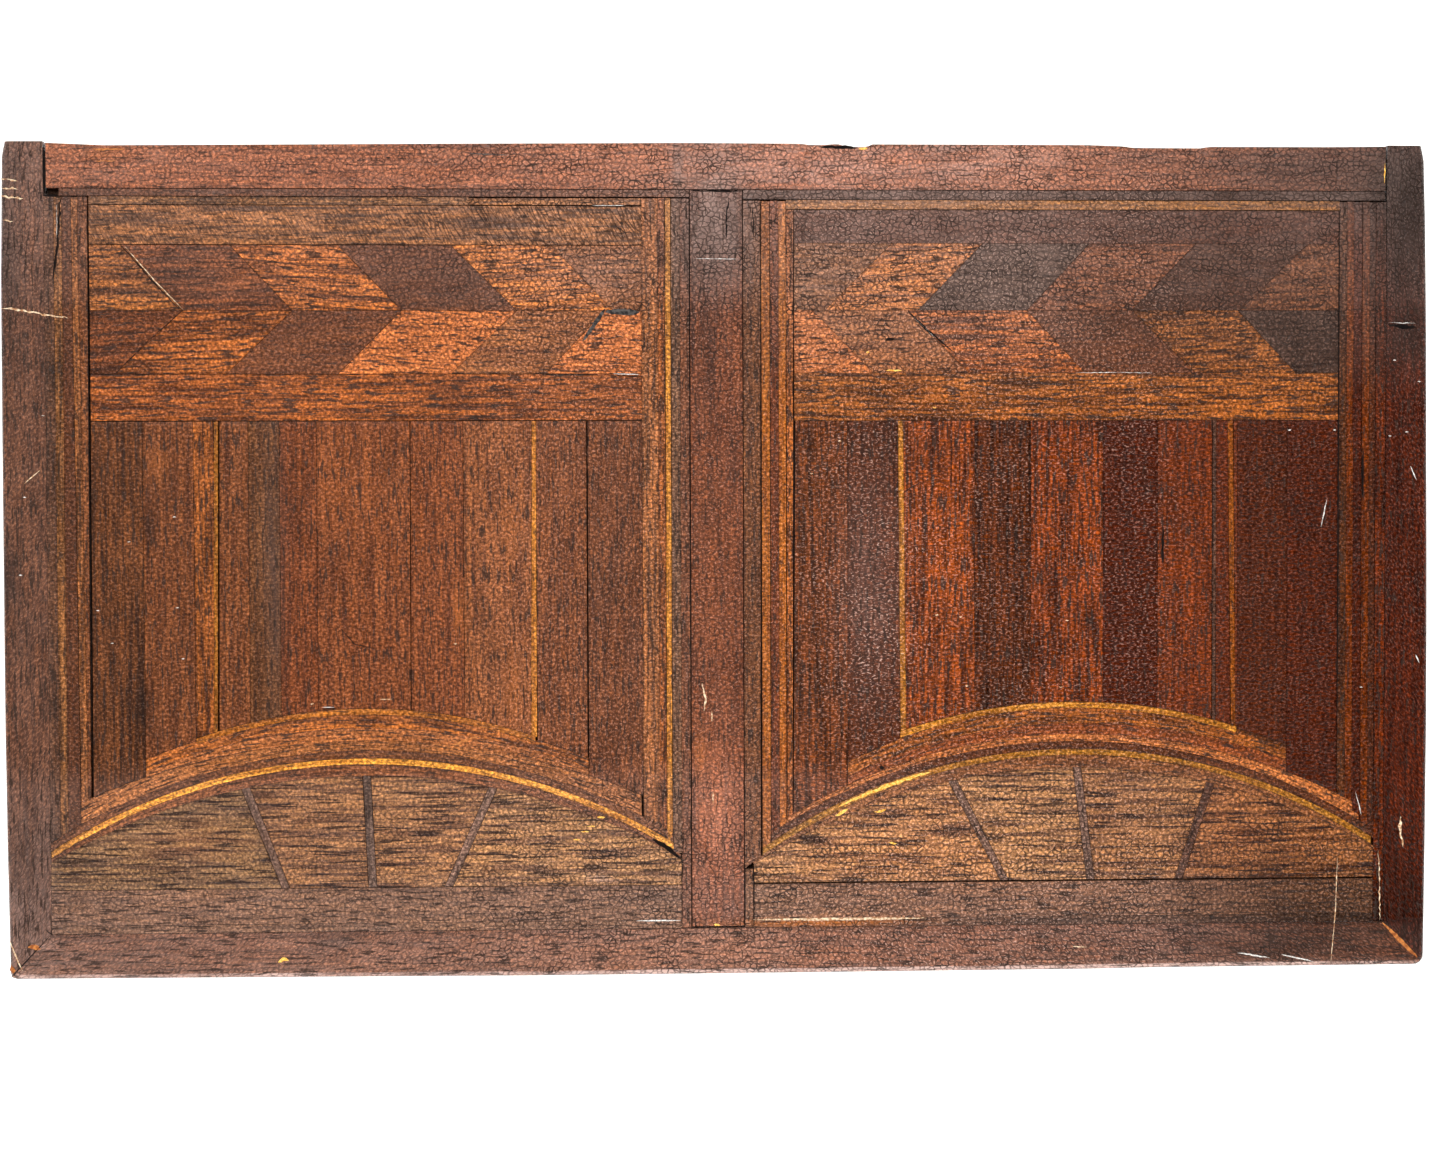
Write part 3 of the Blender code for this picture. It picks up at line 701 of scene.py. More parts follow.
@dataclass(frozen=True)
class Slab:
    """A flat piece of the lid's top, ruled between a near edge and a far edge."""

    name: str
    node: str  # The CAD node that it stands for, or is part of
    tone: Tone
    near: Edge  # Its front or left edge
    far: Edge  # The edge opposite, which runs the same way
    slot: str  # The record's finish
    grain: float | None = 0.0  # The grain's angle from x in degrees, or None to follow the edges
    gaps: tuple[float, ...] = (0.05,) * 4  # Room at its starts, ends, near edge and far edge, in mm
    sink: float = 0.0  # How far it lies under the lid's top, in mm
    craze: Craze = Craze.NET

    def build(self) -> None:
        """Make the slab: point (u, v) is near(u) + v (far(u) - near(u)), with rounded arrises.

        Its top sinks a little towards its sides, and its rim lies lower still. It is painted with
        the lid's look and film.
        """
        probe = np.linspace(0, 1, 33)
        near, far = self.near.at(probe), self.far.at(probe)
        length = max(steps(side).sum() for side in (near, far))
        width = np.hypot(*(far - near).T).max()
        u = stations(length, self.gaps[:2])
        v = stations(width, self.gaps[2:])
        near, far = self.near.at(u), self.far.at(u)
        plan = near[None] + (far - near)[None] * v[:, None, None]
        cup = np.clip(np.minimum(v * width, (1 - v) * width) / CUP_WIDTH, 0, 1)[:, None]
        height = LID.height(plan[..., 0], plan[..., 1]) - self.sink - CUP * (1 - cup)
        rim = np.zeros(height.shape)
        rim[[0, -1], :] = 1
        rim[:, [0, -1]] = 1
        top = np.concatenate([plan, (height - RIM_DROP * rim)[..., None]], -1)

        follow = self.grain is None
        ways = np.meshgrid(u * length, v * width) if follow else turned(plan, self.grain)
        grain = np.stack(ways, -1) * MM + chance(self.name + "grain").uniform(0, 3, 2)
        sheets = Sheets(self.craze)
        numbers = sheets.add_points(top)
        sheets.add_grid(numbers, grain, plan * MM)
        around, floor, ring_map = map(self._around, (numbers, top, grain))
        floor[:, 2] = VENEER_LOW
        below = sheets.add_points(floor)
        wall = np.stack([np.r_[around, around[:1]], np.r_[below, below[:1]]])
        wall_map = np.stack([np.r_[ring_map, ring_map[:1]]] * 2)
        wall_map[1] += 1.5 * MM
        sheets.add_grid(wall, wall_map, wall_map)
        sheets.add_cap(below, ring_map, ring_map)

        wood, shade, depth = self.tone
        piece = sheets.build(f"{self.name}_veneer", wood.value)
        x, y, _ = place_points(piece)
        look, film = LID.look(x, y), LID.film(x, y)
        look[:, 0] *= shade
        film[:, 2] += depth
        paint(piece, look, film)
        register(piece, [self.node])

    @staticmethod
    def _around(grid: Array) -> Array:
        """The values round a grid's rim, in order."""
        return np.concatenate([grid[0, :-1], grid[:-1, -1], grid[-1, :0:-1], grid[:0:-1, 0]])


def string_slot(wood: Wood, other: str) -> str:
    """The record's finish of a string, or another finish if the wood isn't stringing."""
    return "satinwood_string" if wood in (Wood.SATINWOOD, Wood.AMBER) else other


class Line(Enum):
    """The courses of a panel's arch, from its crown down."""

    CROWN = "crown_string"
    OUTER = "outer_lamination"
    MIDDLE = "middle_lamination"
    INNER = "inner_lamination"
    DARK = "dark_lamination"
    STRING = "main_string"
    COVER = "lamination_over_the_fan"
    FAN = "fan"


@dataclass(frozen=True)
class Course:
    """A lamination of an arch, or the fan under them."""

    top: float  # The y of its top line's crown
    radii: Pair  # The radius of that line left and right of the crown
    reach: Pair  # The x where it starts and ends
    tone: Tone | None = None  # What it is made of; each field of a fan has its own


@dataclass(frozen=True)
class Arch:
    """A panel's bent laminations."""

    side: str
    crown: float  # The x of its crown
    courses: dict[Line, Course]
    string: float = 1.5  # The width of the crown string
    slack: float = 0.3  # How far past a step a stave on it may reach

    def line(self, line: Line, reach: Pair | None = None) -> Bow:
        """The top line of a course, over its own reach or another."""
        course = self.courses[line]
        return Bow((self.crown, course.top), course.radii, reach or course.reach)

    def step(self, x: float) -> Line:
        """The step of the arch that a stave at an x stands on."""
        for line in (Line.CROWN, Line.OUTER):
            start, end = self.courses[line].reach
            if start - self.slack < x < end + self.slack:
                return line
        return Line.INNER

    def build(self) -> None:
        """Lay each lamination between its own top line and the next one's."""
        order = list(Line)
        under = self.line(Line.CROWN).lower(self.string)
        nodes = {Line.STRING: "arch_string", Line.COVER: "fan_rays"}
        for line, below in zip(order[:-1], order[1:]):
            course = self.courses[line]
            far: Edge = self.line(line)
            near = under if line is Line.CROWN else self.line(below, course.reach)
            if line is Line.OUTER:
                far = self._stepped(far, under)
            name, node = f"{self.side}_{line.value}", f"{self.side}_{nodes.get(line, 'arch_band')}"
            gold = course.tone[0] is Wood.SATINWOOD
            slot = "satinwood_string" if gold else "orange_padauk"
            Slab(name, node, course.tone, near, far, slot, None).build()

    @staticmethod
    def _stepped(outside: Bow, inside: Bow) -> Bent:
        """A line that follows one bow, and another one within that one's reach."""
        x = np.linspace(*outside.reach, 161)
        under = (x > inside.reach[0]) & (x < inside.reach[1])
        y = np.where(under, inside.y(np.clip(x, *inside.reach)), outside.y(x))
        return Bent.through(np.stack([x, y], -1))


LEFT_ARCH = Arch(
    "left",
    -88,
    {
        Line.CROWN: Course(-35.8, (123.6, 123.6), (-129.3, -46.5), (Wood.AMBER, 1.05, -0.26)),
        Line.OUTER: Course(-37.5, (144, 144), (-141.5, -33.5), (Wood.PADAUK, 1.09, -0.39)),
        Line.MIDDLE: Course(-40.6, (146, 146), (-141.5, -33.5), (Wood.BRIGHT, 0.89, -0.45)),
        Line.INNER: Course(-43.7, (172, 172), (-157.3, -20.5), (Wood.BRIGHT, 0.83, -0.6)),
        Line.DARK: Course(-46.1, (144.9, 144.9), (-164.7, -12.8), (Wood.RED, 0.85, -0.2)),
        Line.STRING: Course(-48, (143, 143), (-164.6, -12.5), (Wood.SATINWOOD, 1.65, -0.35)),
        Line.COVER: Course(-49.5, (141.5, 141.5), (-164.7, -10.8), (Wood.RED, 1.03, -0.12)),
        Line.FAN: Course(-52.3, (152, 152), (-164.7, -10.7)),
    },
)
RIGHT_ARCH = Arch(
    "right",
    86.5,
    {
        Line.CROWN: Course(-35.2, (134, 134), (43.5, 127.5), (Wood.SATINWOOD, 1.09, -0.48)),
        Line.OUTER: Course(-36.8, (128, 158), (30.5, 140), (Wood.PADAUK, 1.06, -0.6)),
        Line.MIDDLE: Course(-40.5, (128, 156), (30.5, 140), (Wood.RED, 1.3, 0.09)),
        Line.INNER: Course(-43.2, (134, 151), (15.4, 158.5), (Wood.BRIGHT, 1.18, -0.6)),
        Line.DARK: Course(-45, (137.9, 137.9), (11.5, 162), (Wood.ROSEWOOD, 1.64, -0.6)),
        Line.STRING: Course(-46.9, (136, 136), (9.3, 161.5), (Wood.SATINWOOD, 0.81, -0.58)),
        Line.COVER: Course(-48.4, (134.5, 134.5), (7, 162.5), (Wood.RED, 1.34, -0.6)),
        Line.FAN: Course(-51.5, (146, 146), (7.1, 162)),
    },
)


@dataclass(frozen=True)
class Stave:
    """An upright stave or a string beside one."""

    label: str  # Its name in the row
    number: int  # The CAD stave that it belongs to
    tone: Tone
    top: Pair  # Its left and right x at its top
    foot: Pair  # Its left and right x at its foot
    gap: Pair = (0.05, 0.05)  # Room at its left and right sides, in mm


@dataclass(frozen=True)
class StaveRow:
    """The upright staves of a panel, which stand on the arch's steps."""

    side: str
    top: float  # The y of their top ends
    arch: Arch
    staves: tuple[Stave, ...]

    def build(self) -> None:
        """Make each stave between its top end and the arch line under it."""
        for stave in self.staves:
            label = f"stave_{stave.label}"
            Slab(
                f"{self.side}_{label}",
                f"{self.side}_stave_{stave.number}",
                stave.tone,
                self.arch.line(self.arch.step(sum(stave.foot) / 2), stave.foot),
                across(stave.top, self.top),
                string_slot(stave.tone[0], "red_mahogany"),
                90.0 + chance(self.side + label).uniform(-0.6, 0.6),
                (*stave.gap, 0.08, 0.08),
                chance(label + self.side).uniform(0, 0.03),
                Craze.FINE if self.side == "left" else Craze.WRINKLE,
            ).build()


LEFT_STAVES = StaveRow(
    "left",
    34.6,
    LEFT_ARCH,
    (
        Stave("1", 1, (Wood.WALNUT, 0.76, 0.09), (-153.9, -141.5), (-154.2, -141.5)),
        Stave("2", 2, (Wood.RED, 0.78, -0.04), (-141.5, -129.3), (-141.5, -129.3)),
        Stave("3", 3, (Wood.PADAUK, 0.81, -0.33), (-129.3, -124.2), (-129.3, -124.9)),
        Stave("3_string", 3, (Wood.AMBER, 0.87, -0.52), (-124.2, -123.2), (-124.9, -124)),
        Stave("4_left", 3, (Wood.RED, 0.89, -0.06), (-122.9, -116), (-123.6, -116)),
        Stave("4_right", 3, (Wood.RED, 0.65, -0.43), (-116, -108.5), (-116, -108.5)),
        Stave("5", 4, (Wood.RED, 0.84, 0.26), (-108.5, -99.5), (-108.5, -99.5)),
        Stave("6", 4, (Wood.RED, 0.98, 0.13), (-99.5, -76.7), (-99.5, -76.9), (0.05, 0.12)),
        Stave("7", 5, (Wood.RED, 1.04, 0.17), (-76.7, -63.8), (-76.9, -63.8), (0.12, 0.08)),
        Stave("8", 6, (Wood.RED, 1.28, -0.1), (-63.8, -47), (-63.8, -47.6)),
        Stave("8_string", 6, (Wood.SATINWOOD, 1.05, -0.06), (-47, -46), (-47.6, -46.1)),
        Stave("9", 7, (Wood.RED, 1.03, 0.01), (-46, -33.6), (-46, -33.6), (0.05, 0.15)),
        Stave("10", 8, (Wood.RED, 0.83, 0.02), (-33.4, -20), (-33.4, -20)),
    ),
)
RIGHT_STAVES = StaveRow(
    "right",
    34.5,
    RIGHT_ARCH,
    (
        Stave("1", 1, (Wood.WALNUT, 1.1, 0.34), (17.6, 30.5), (16.9, 30.5), (0.15, 0.05)),
        Stave("2", 2, (Wood.RED, 0.47, 0.27), (30.5, 43), (30.5, 43.6)),
        Stave("2_string", 2, (Wood.SATINWOOD, 0.9, -0.37), (43, 44.3), (43.6, 45)),
        Stave("3", 3, (Wood.PADAUK, 0.88, 0.11), (44.3, 62), (45, 62)),
        Stave("4", 4, (Wood.WALNUT, 0.67, 0.49), (62, 76), (62, 76)),
        Stave("5", 5, (Wood.PADAUK, 0.68, 0.26), (76, 94), (76, 94)),
        Stave("6", 6, (Wood.ROSEWOOD, 1.05, 0.53), (94, 107.6), (94, 107.6)),
        Stave("7", 7, (Wood.RED, 0.81, 0.53), (107.6, 121.2), (107.6, 121.2)),
        Stave("7_dark", 7, (Wood.EBONISED, 2, -0.6), (121.3, 122.2), (121.3, 122.2)),
        Stave("8", 7, (Wood.ROSEWOOD, 1.67, 0.25), (122.2, 125), (122.2, 126)),
        Stave("8_string", 7, (Wood.AMBER, 0.67, -0.07), (125, 126.4), (126.1, 127.2)),
        Stave("8_edge", 7, (Wood.ROSEWOOD, 1.91, 0.01), (126.5, 127.5), (127.2, 127.6)),
        Stave("9", 8, (Wood.ROSEWOOD, 1.08, 0.16), (127.5, 140), (127.6, 140)),
        Stave("10", 9, (Wood.ROSEWOOD, 1.02, 0.42), (140, 152.7), (140, 152.7)),
    ),
)


@dataclass(frozen=True)
class ChevronRow:
    """A row of chevrons between two plain bands; each is an upper and a lower piece."""

    side: str
    field: Pair  # The x where the row starts and ends
    levels: tuple[float, float, float]  # The y of its foot, middle and top
    tips: tuple[tuple[float, ...], ...]  # The x of each joint at the middle, above and below it
    tops: tuple[float, ...]  # The x of each joint at the row's top
    feet: tuple[float, ...]  # The x of each joint at the row's foot
    upper: tuple[Tone, ...]  # The upper pieces, from left to right
    lower: tuple[Tone, ...]
    bands: tuple[tuple[Pair, Tone], ...]  # The y limits of the bands above and below

    def build(self) -> None:
        """Make the pieces of both halves, and the bands."""
        foot, middle, top = self.levels
        for half, low, high, y, tones in (
            ("upper", self.tips[0], self.tops, (middle, top), self.upper),
            ("lower", self.feet, self.tips[1], (foot, middle), self.lower),
        ):
            low, high = ((self.field[0], *joints, self.field[1]) for joints in (low, high))
            for i, tone in enumerate(tones):
                Slab(
                    f"{self.side}_chevron_{i + 1}_{half}",
                    f"{self.side}_chevron_{i + 1}",
                    tone,
                    across(low[i : i + 2], y[0]),
                    across(high[i : i + 2], y[1]),
                    "red_mahogany",
                    chance(self.side + half + str(i)).uniform(-4, 4),
                    (0.08, 0.08, 0.06, 0.06),
                    chance(half + str(i) + self.side).uniform(0, 0.03),
                ).build()
        for (y, tone), label in zip(self.bands, ("top_band", "under_band")):
            name = f"{self.side}_{label}"
            craze = Craze.SLANT if name == "left_top_band" else Craze.NET
            Slab(name, name, tone, *level(self.field, y), "dark_rosewood", craze=craze).build()


LEFT_CHEVRONS = ChevronRow(
    "left",
    (-153.9, -20),
    (46.1, 61.5, 77.4),
    ((-131.5, -105, -78.5, -50.5, -27), (-131.5, -105, -78.5, -50.5, -29)),
    (-146.3, -120, -94, -66.5, -42),
    (-148, -121, -94, -66.5, -43.5),
    (
        (Wood.PADAUK, 1.11, -0.6), (Wood.WALNUT, 1.23, 0.33), (Wood.PADAUK, 1.48, -0.33),
        (Wood.ROSEWOOD, 1.82, -0.6), (Wood.PADAUK, 1.72, -0.5), (Wood.RED, 1.21, -0.33),
    ),
    (
        (Wood.WALNUT, 1.04, 0.35), (Wood.PADAUK, 1.12, -0.29), (Wood.ROSEWOOD, 2.35, -0.6),
        (Wood.BRIGHT, 1.26, -0.2), (Wood.RED, 1.49, -0.28), (Wood.BRIGHT, 1.37, -0.2),
    ),
    (((77.5, 87), (Wood.WALNUT, 1.89, -0.25)), ((34.7, 46), (Wood.PADAUK, 0.93, -0.18))),
)
RIGHT_CHEVRONS = ChevronRow(
    "right",
    (17.4, 152.7),
    (46.2, 61.6, 78),
    ((25, 48, 75, 101, 128), (22, 45.5, 75, 101, 127.5)),
    (41.5, 64, 90.5, 117, 145),
    (37, 60.5, 89.5, 117, 142),
    (
        (Wood.RED, 1.1, -0.53), (Wood.PADAUK, 1.42, -0.6), (Wood.GREYED, 0.65, -0.6),
        (Wood.RED, 0.85, 0.04), (Wood.ROSEWOOD, 0.79, -0.6), (Wood.RED, 0.68, -0.14),
    ),
    (
        (Wood.BRIGHT, 1.18, -0.29), (Wood.RED, 1.48, -0.35), (Wood.PADAUK, 1.21, -0.22),
        (Wood.ROSEWOOD, 1.81, -0.6), (Wood.PADAUK, 0.79, -0.6), (Wood.GREYED, 0.49, -0.28),
    ),
    (((78, 86.2), (Wood.ROSEWOOD, 0.97, -0.18)), ((34.5, 46.2), (Wood.PADAUK, 0.98, -0.6))),
)


@dataclass(frozen=True)
class Strip:
    """A thin strip of a border."""

    label: str
    tone: Tone
    back: Pair  # Its left and right x at its back end
    reach: tuple[float | Line, float]  # The y or arch line of its front, the y of its back
    front: Pair | None = None  # Its left and right x at its front end, if they differ


@dataclass(frozen=True)
class Border:
    """The thin strips glued side by side along one side of a panel."""

    node: str  # The CAD node that they stand for
    arch: Arch  # The arch that some end on
    strips: tuple[Strip, ...]  # From left to right

    def build(self) -> None:
        """Make each strip from its front end to its back end."""
        side = self.arch.side
        for strip in self.strips:
            low, high = strip.reach
            front = strip.front or strip.back
            Slab(
                f"{side}_{strip.label}",
                f"{side}_{self.node}",
                strip.tone,
                self.arch.line(low, front) if isinstance(low, Line) else across(front, low),
                across(strip.back, high),
                string_slot(strip.tone[0], "brown_walnut"),
                90.0,
                (0.03, 0.03, 0.05, 0.05),
            ).build()


LEFT_BORDERS = (
    Border(
        "border_outer",
        LEFT_ARCH,
        (
            Strip("outer_brown", (Wood.FRAME, 0.96, -0.23), (-164.7, -162.3), (Line.DARK, 89.2)),
            Strip("outer_orange", (Wood.WALNUT, 1.43, -0.35), (-162.3, -160.4), (Line.DARK, 88.9)),
            Strip(
                "outer_dark", (Wood.ROSEWOOD, 1.31, -0.6), (-160.4, -158.1), (Line.DARK, 89),
                (-160.4, -157.3),
            ),
            Strip(
                "outer_string", (Wood.WALNUT, 1.58, -0.08), (-158.1, -156.6), (-58.4, 88.9),
                (-157.2, -155.5),
            ),
            Strip(
                "outer_orange_brown", (Wood.RED, 0.91, -0.16), (-156.6, -154.2), (-58.2, 89),
                (-155.45, -154.9),
            ),
        ),
    ),
    Border(
        "border_inner",
        LEFT_ARCH,
        (
            Strip("inner_orange", (Wood.WALNUT, 2.14, -0.05), (-20, -16), (Line.DARK, 88.9)),
            Strip("inner_dark", (Wood.PADAUK, 0.9, -0.26), (-16, -14.3), (Line.DARK, 89)),
            Strip("inner_string", (Wood.SATINWOOD, 1.1, -0.21), (-14.2, -12.9), (-69, 89)),
            Strip("inner_black", (Wood.FRAME, 1.48, -0.53), (-12.8, -10.6), (-72, 88.9)),
            Strip("inner_brown", (Wood.FRAME, 1.57, 0.15), (-10.6, -8.35), (-90.5, 88.9)),
        ),
    ),
)
RIGHT_BORDERS = (
    Border(
        "border_inner",
        RIGHT_ARCH,
        (
            Strip(
                "inner_brown", (Wood.RED, 0.74, -0.31), (4.9, 9.2), (Line.COVER, 88.4),
                (4.9, 8.9),
            ),
            Strip("inner_foot", (Wood.RED, 0.75, -0.6), (4.9, 7), (-90.5, -76.1)),
            Strip(
                "inner_outer_string", (Wood.SATINWOOD, 0.69, 0.28), (9.3, 11.4),
                (Line.STRING, 88.3),
            ),
            Strip("inner_dark", (Wood.RED, 0.73, 0.4), (11.5, 13.6), (Line.DARK, 88.4)),
            Strip(
                "inner_string", (Wood.SATINWOOD, 0.78, 0.28), (13.6, 15.4), (Line.DARK, 88.3),
                (13.6, 15.3),
            ),
            Strip(
                "inner_orange", (Wood.PADAUK, 1.04, -0.37), (15.5, 17.3), (Line.INNER, 86.2),
                (15.5, 16.8),
            ),
        ),
    ),
    Border(
        "border_outer",
        RIGHT_ARCH,
        (
            Strip("outer_red", (Wood.RED, 0.4, -0.15), (152.8, 154.8), (Line.INNER, 88.4)),
            Strip("outer_string", (Wood.AMBER, 0.38, 0.47), (154.8, 156.5), (Line.INNER, 88.5)),
            Strip("outer_dark", (Wood.ROSEWOOD, 0.9, 0.5), (156.5, 158.6), (Line.DARK, 88.4)),
            Strip("outer_amber", (Wood.AMBER, 0.35, 0.44), (158.7, 160.5), (Line.DARK, 88.5)),
            Strip("outer_black", (Wood.ROSEWOOD, 1.08, -0.2), (160.5, 162), (Line.STRING, 88.4)),
            Strip("outer_orange", (Wood.PADAUK, 0.35, 0.48), (162.1, 164.6), (-90.5, 88.4)),
        ),
    ),
)


@dataclass(frozen=True)
class Fan:
    """A panel's fan of streaked wood with three rays in it, and the plain band under it."""

    arch: Arch
    foot: float  # The y of the fan's foot
    rays: tuple[Pair, ...]  # For each ray, the x of its head and of its foot
    fields: tuple[Pair, ...]  # Shade and depth of each field
    ray_tones: tuple[Pair, ...]
    base: tuple[Pair, ...]  # Shade and depth of the band and of the strip under it
    width: float = 2.1  # The width of a ray, in mm
    rise: float = 25.0  # The height of a ray in plan, which its grain follows
    band: Pair = (-88.6, -79.9)  # The y limits of the band under the fan
    strip: Pair = (-90.62, -88.65)  # The y limits of the thin strip under the band

    def build(self) -> None:
        """Make the fan's four fields, its rays, the band and the thin strip."""
        half, side = self.width / 2, self.arch.side
        start, end = self.arch.courses[Line.FAN].reach
        starts = [(start, start), *((head + half, foot + half) for head, foot in self.rays)]
        ends = [*((head - half, foot - half) for head, foot in self.rays), (end, end)]
        for i, (low, high) in enumerate(zip(starts, ends)):
            Slab(
                f"{side}_fan_{i + 1}",
                f"{side}_fan_field",
                (Wood.STREAKED, *self.fields[i]),
                across((low[1], high[1]), self.foot),
                self.arch.line(Line.FAN, (low[0], high[0])),
                "streaked_fan_wood",
            ).build()
        for i, (head, foot) in enumerate(self.rays):
            Slab(
                f"{side}_ray_{i + 1}",
                f"{side}_fan_rays",
                (Wood.GREYED, *self.ray_tones[i]),
                across((foot - half, foot + half), self.foot),
                self.arch.line(Line.FAN, (head - half, head + half)),
                "dark_rosewood",
                math.degrees(math.atan2(self.rise, head - foot)),
                (0.12, 0.12, 0.05, 0.05),
                0.04,
            ).build()
        for label, y, tone in zip(("base_band", "base_strip"), (self.band, self.strip), self.base):
            Slab(
                f"{side}_{label}",
                f"{side}_fan_field",
                (Wood.FRAME, *tone),
                *level((start, end), y),
                "red_mahogany",
                gaps=(0.05, 0.05, 0.02, 0.02),
            ).build()


LEFT_FAN = Fan(
    LEFT_ARCH,
    -79.8,
    ((-117.4, -107.8), (-87.9, -86.6), (-57, -68)),
    ((0.57, -0.6), (0.76, -0.22), (0.91, -0.28), (1.07, -0.45)),
    ((1.4, -0.47), (0.99, -0.6), (1.98, -0.52)),
    ((1.9, -0.55), (1.74, -0.6)),
)
RIGHT_FAN = Fan(
    RIGHT_ARCH,
    -79.5,
    ((56.5, 69.5), (87.5, 91), (121, 113)),
    ((1.23, -0.44), (1.1, -0.6), (0.9, -0.4), (0.75, -0.12)),
    ((1.78, -0.6), (1.78, -0.6), (1.07, -0.1)),
    ((2.28, -0.6), (1.21, -0.6)),
)


def round_over(centre: Pair, radius: float, start: float, count: int) -> Section:
    """Points of a quarter round: centre + radius (cos a, sin a), with a falling by 90 degrees."""
    angles = np.radians(start - np.linspace(0, 90, count + 1))
    x, z = centre[0] + radius * np.cos(angles), centre[1] + radius * np.sin(angles)
    return tuple(zip(x.tolist(), z.tolist()))


def split(section: Section, step: float) -> Array:
    """A closed section with points added so that none lie more than a step apart, in mm."""
    corners = np.array([*section, section[0]])
    out = []
    for start, end in zip(corners[:-1], corners[1:]):
        count = max(1, math.ceil(np.hypot(*(end - start)) / step))
        out.append(start + (end - start) * (np.arange(count) / count)[:, None])
    return np.concatenate(out)


def carried(
    name: str, kind: str, wood: Wood, points: Array, run: Array, ring: Array
) -> bpy.types.Object:
    """Make a board from its section carried along its grain.

    Args:
        name: The board's name.
        kind: What the piece is called after it.
        wood: Its timber.
        points: The section's points at each place along the board, in mm.
        run: How far along the board each place is, in mm.
        ring: The section, in mm.

    Returns:
        The board, whose grain map is the way along it and round it from a chance start.
    """
    round_it = np.r_[0, np.cumsum(steps(np.r_[ring, ring[:1]]))]
    grain = np.stack(np.meshgrid(run, round_it, indexing="ij"), -1) * MM
    grain = grain + chance(name).uniform(0, 3, 2)
    sheets = Sheets()
    sheets.add_tube(points, grain, [(ring * MM * END_GRAIN, ring * MM)] * 2)
    return sheets.build(f"{name}_{kind}", wood.value, SOFTEN)


def plain(piece: bpy.types.Object, shade: float) -> None:
    """Paint a piece of the case or base: slow soft clouds, darker and greyer low down, and a faint
    net.

    The net has a trace of painted highlight on its rims.
    """
    x, y, z = place_points(piece)
    cloud = np.sin(x / 37 + z / 21) * np.sin(y / 29 - z / 33 + 1) * 0.06
    low = 1 - smooth(z, 0, 22)
    tone = shade * (1 + cloud) * (1 - 0.2 * low)
    film = np.tile((0.3, 0.04, 0.0), (len(x), 1))
    paint(piece, np.stack([tone, -0.08 * low, np.full_like(x, 0.02)], -1), film)


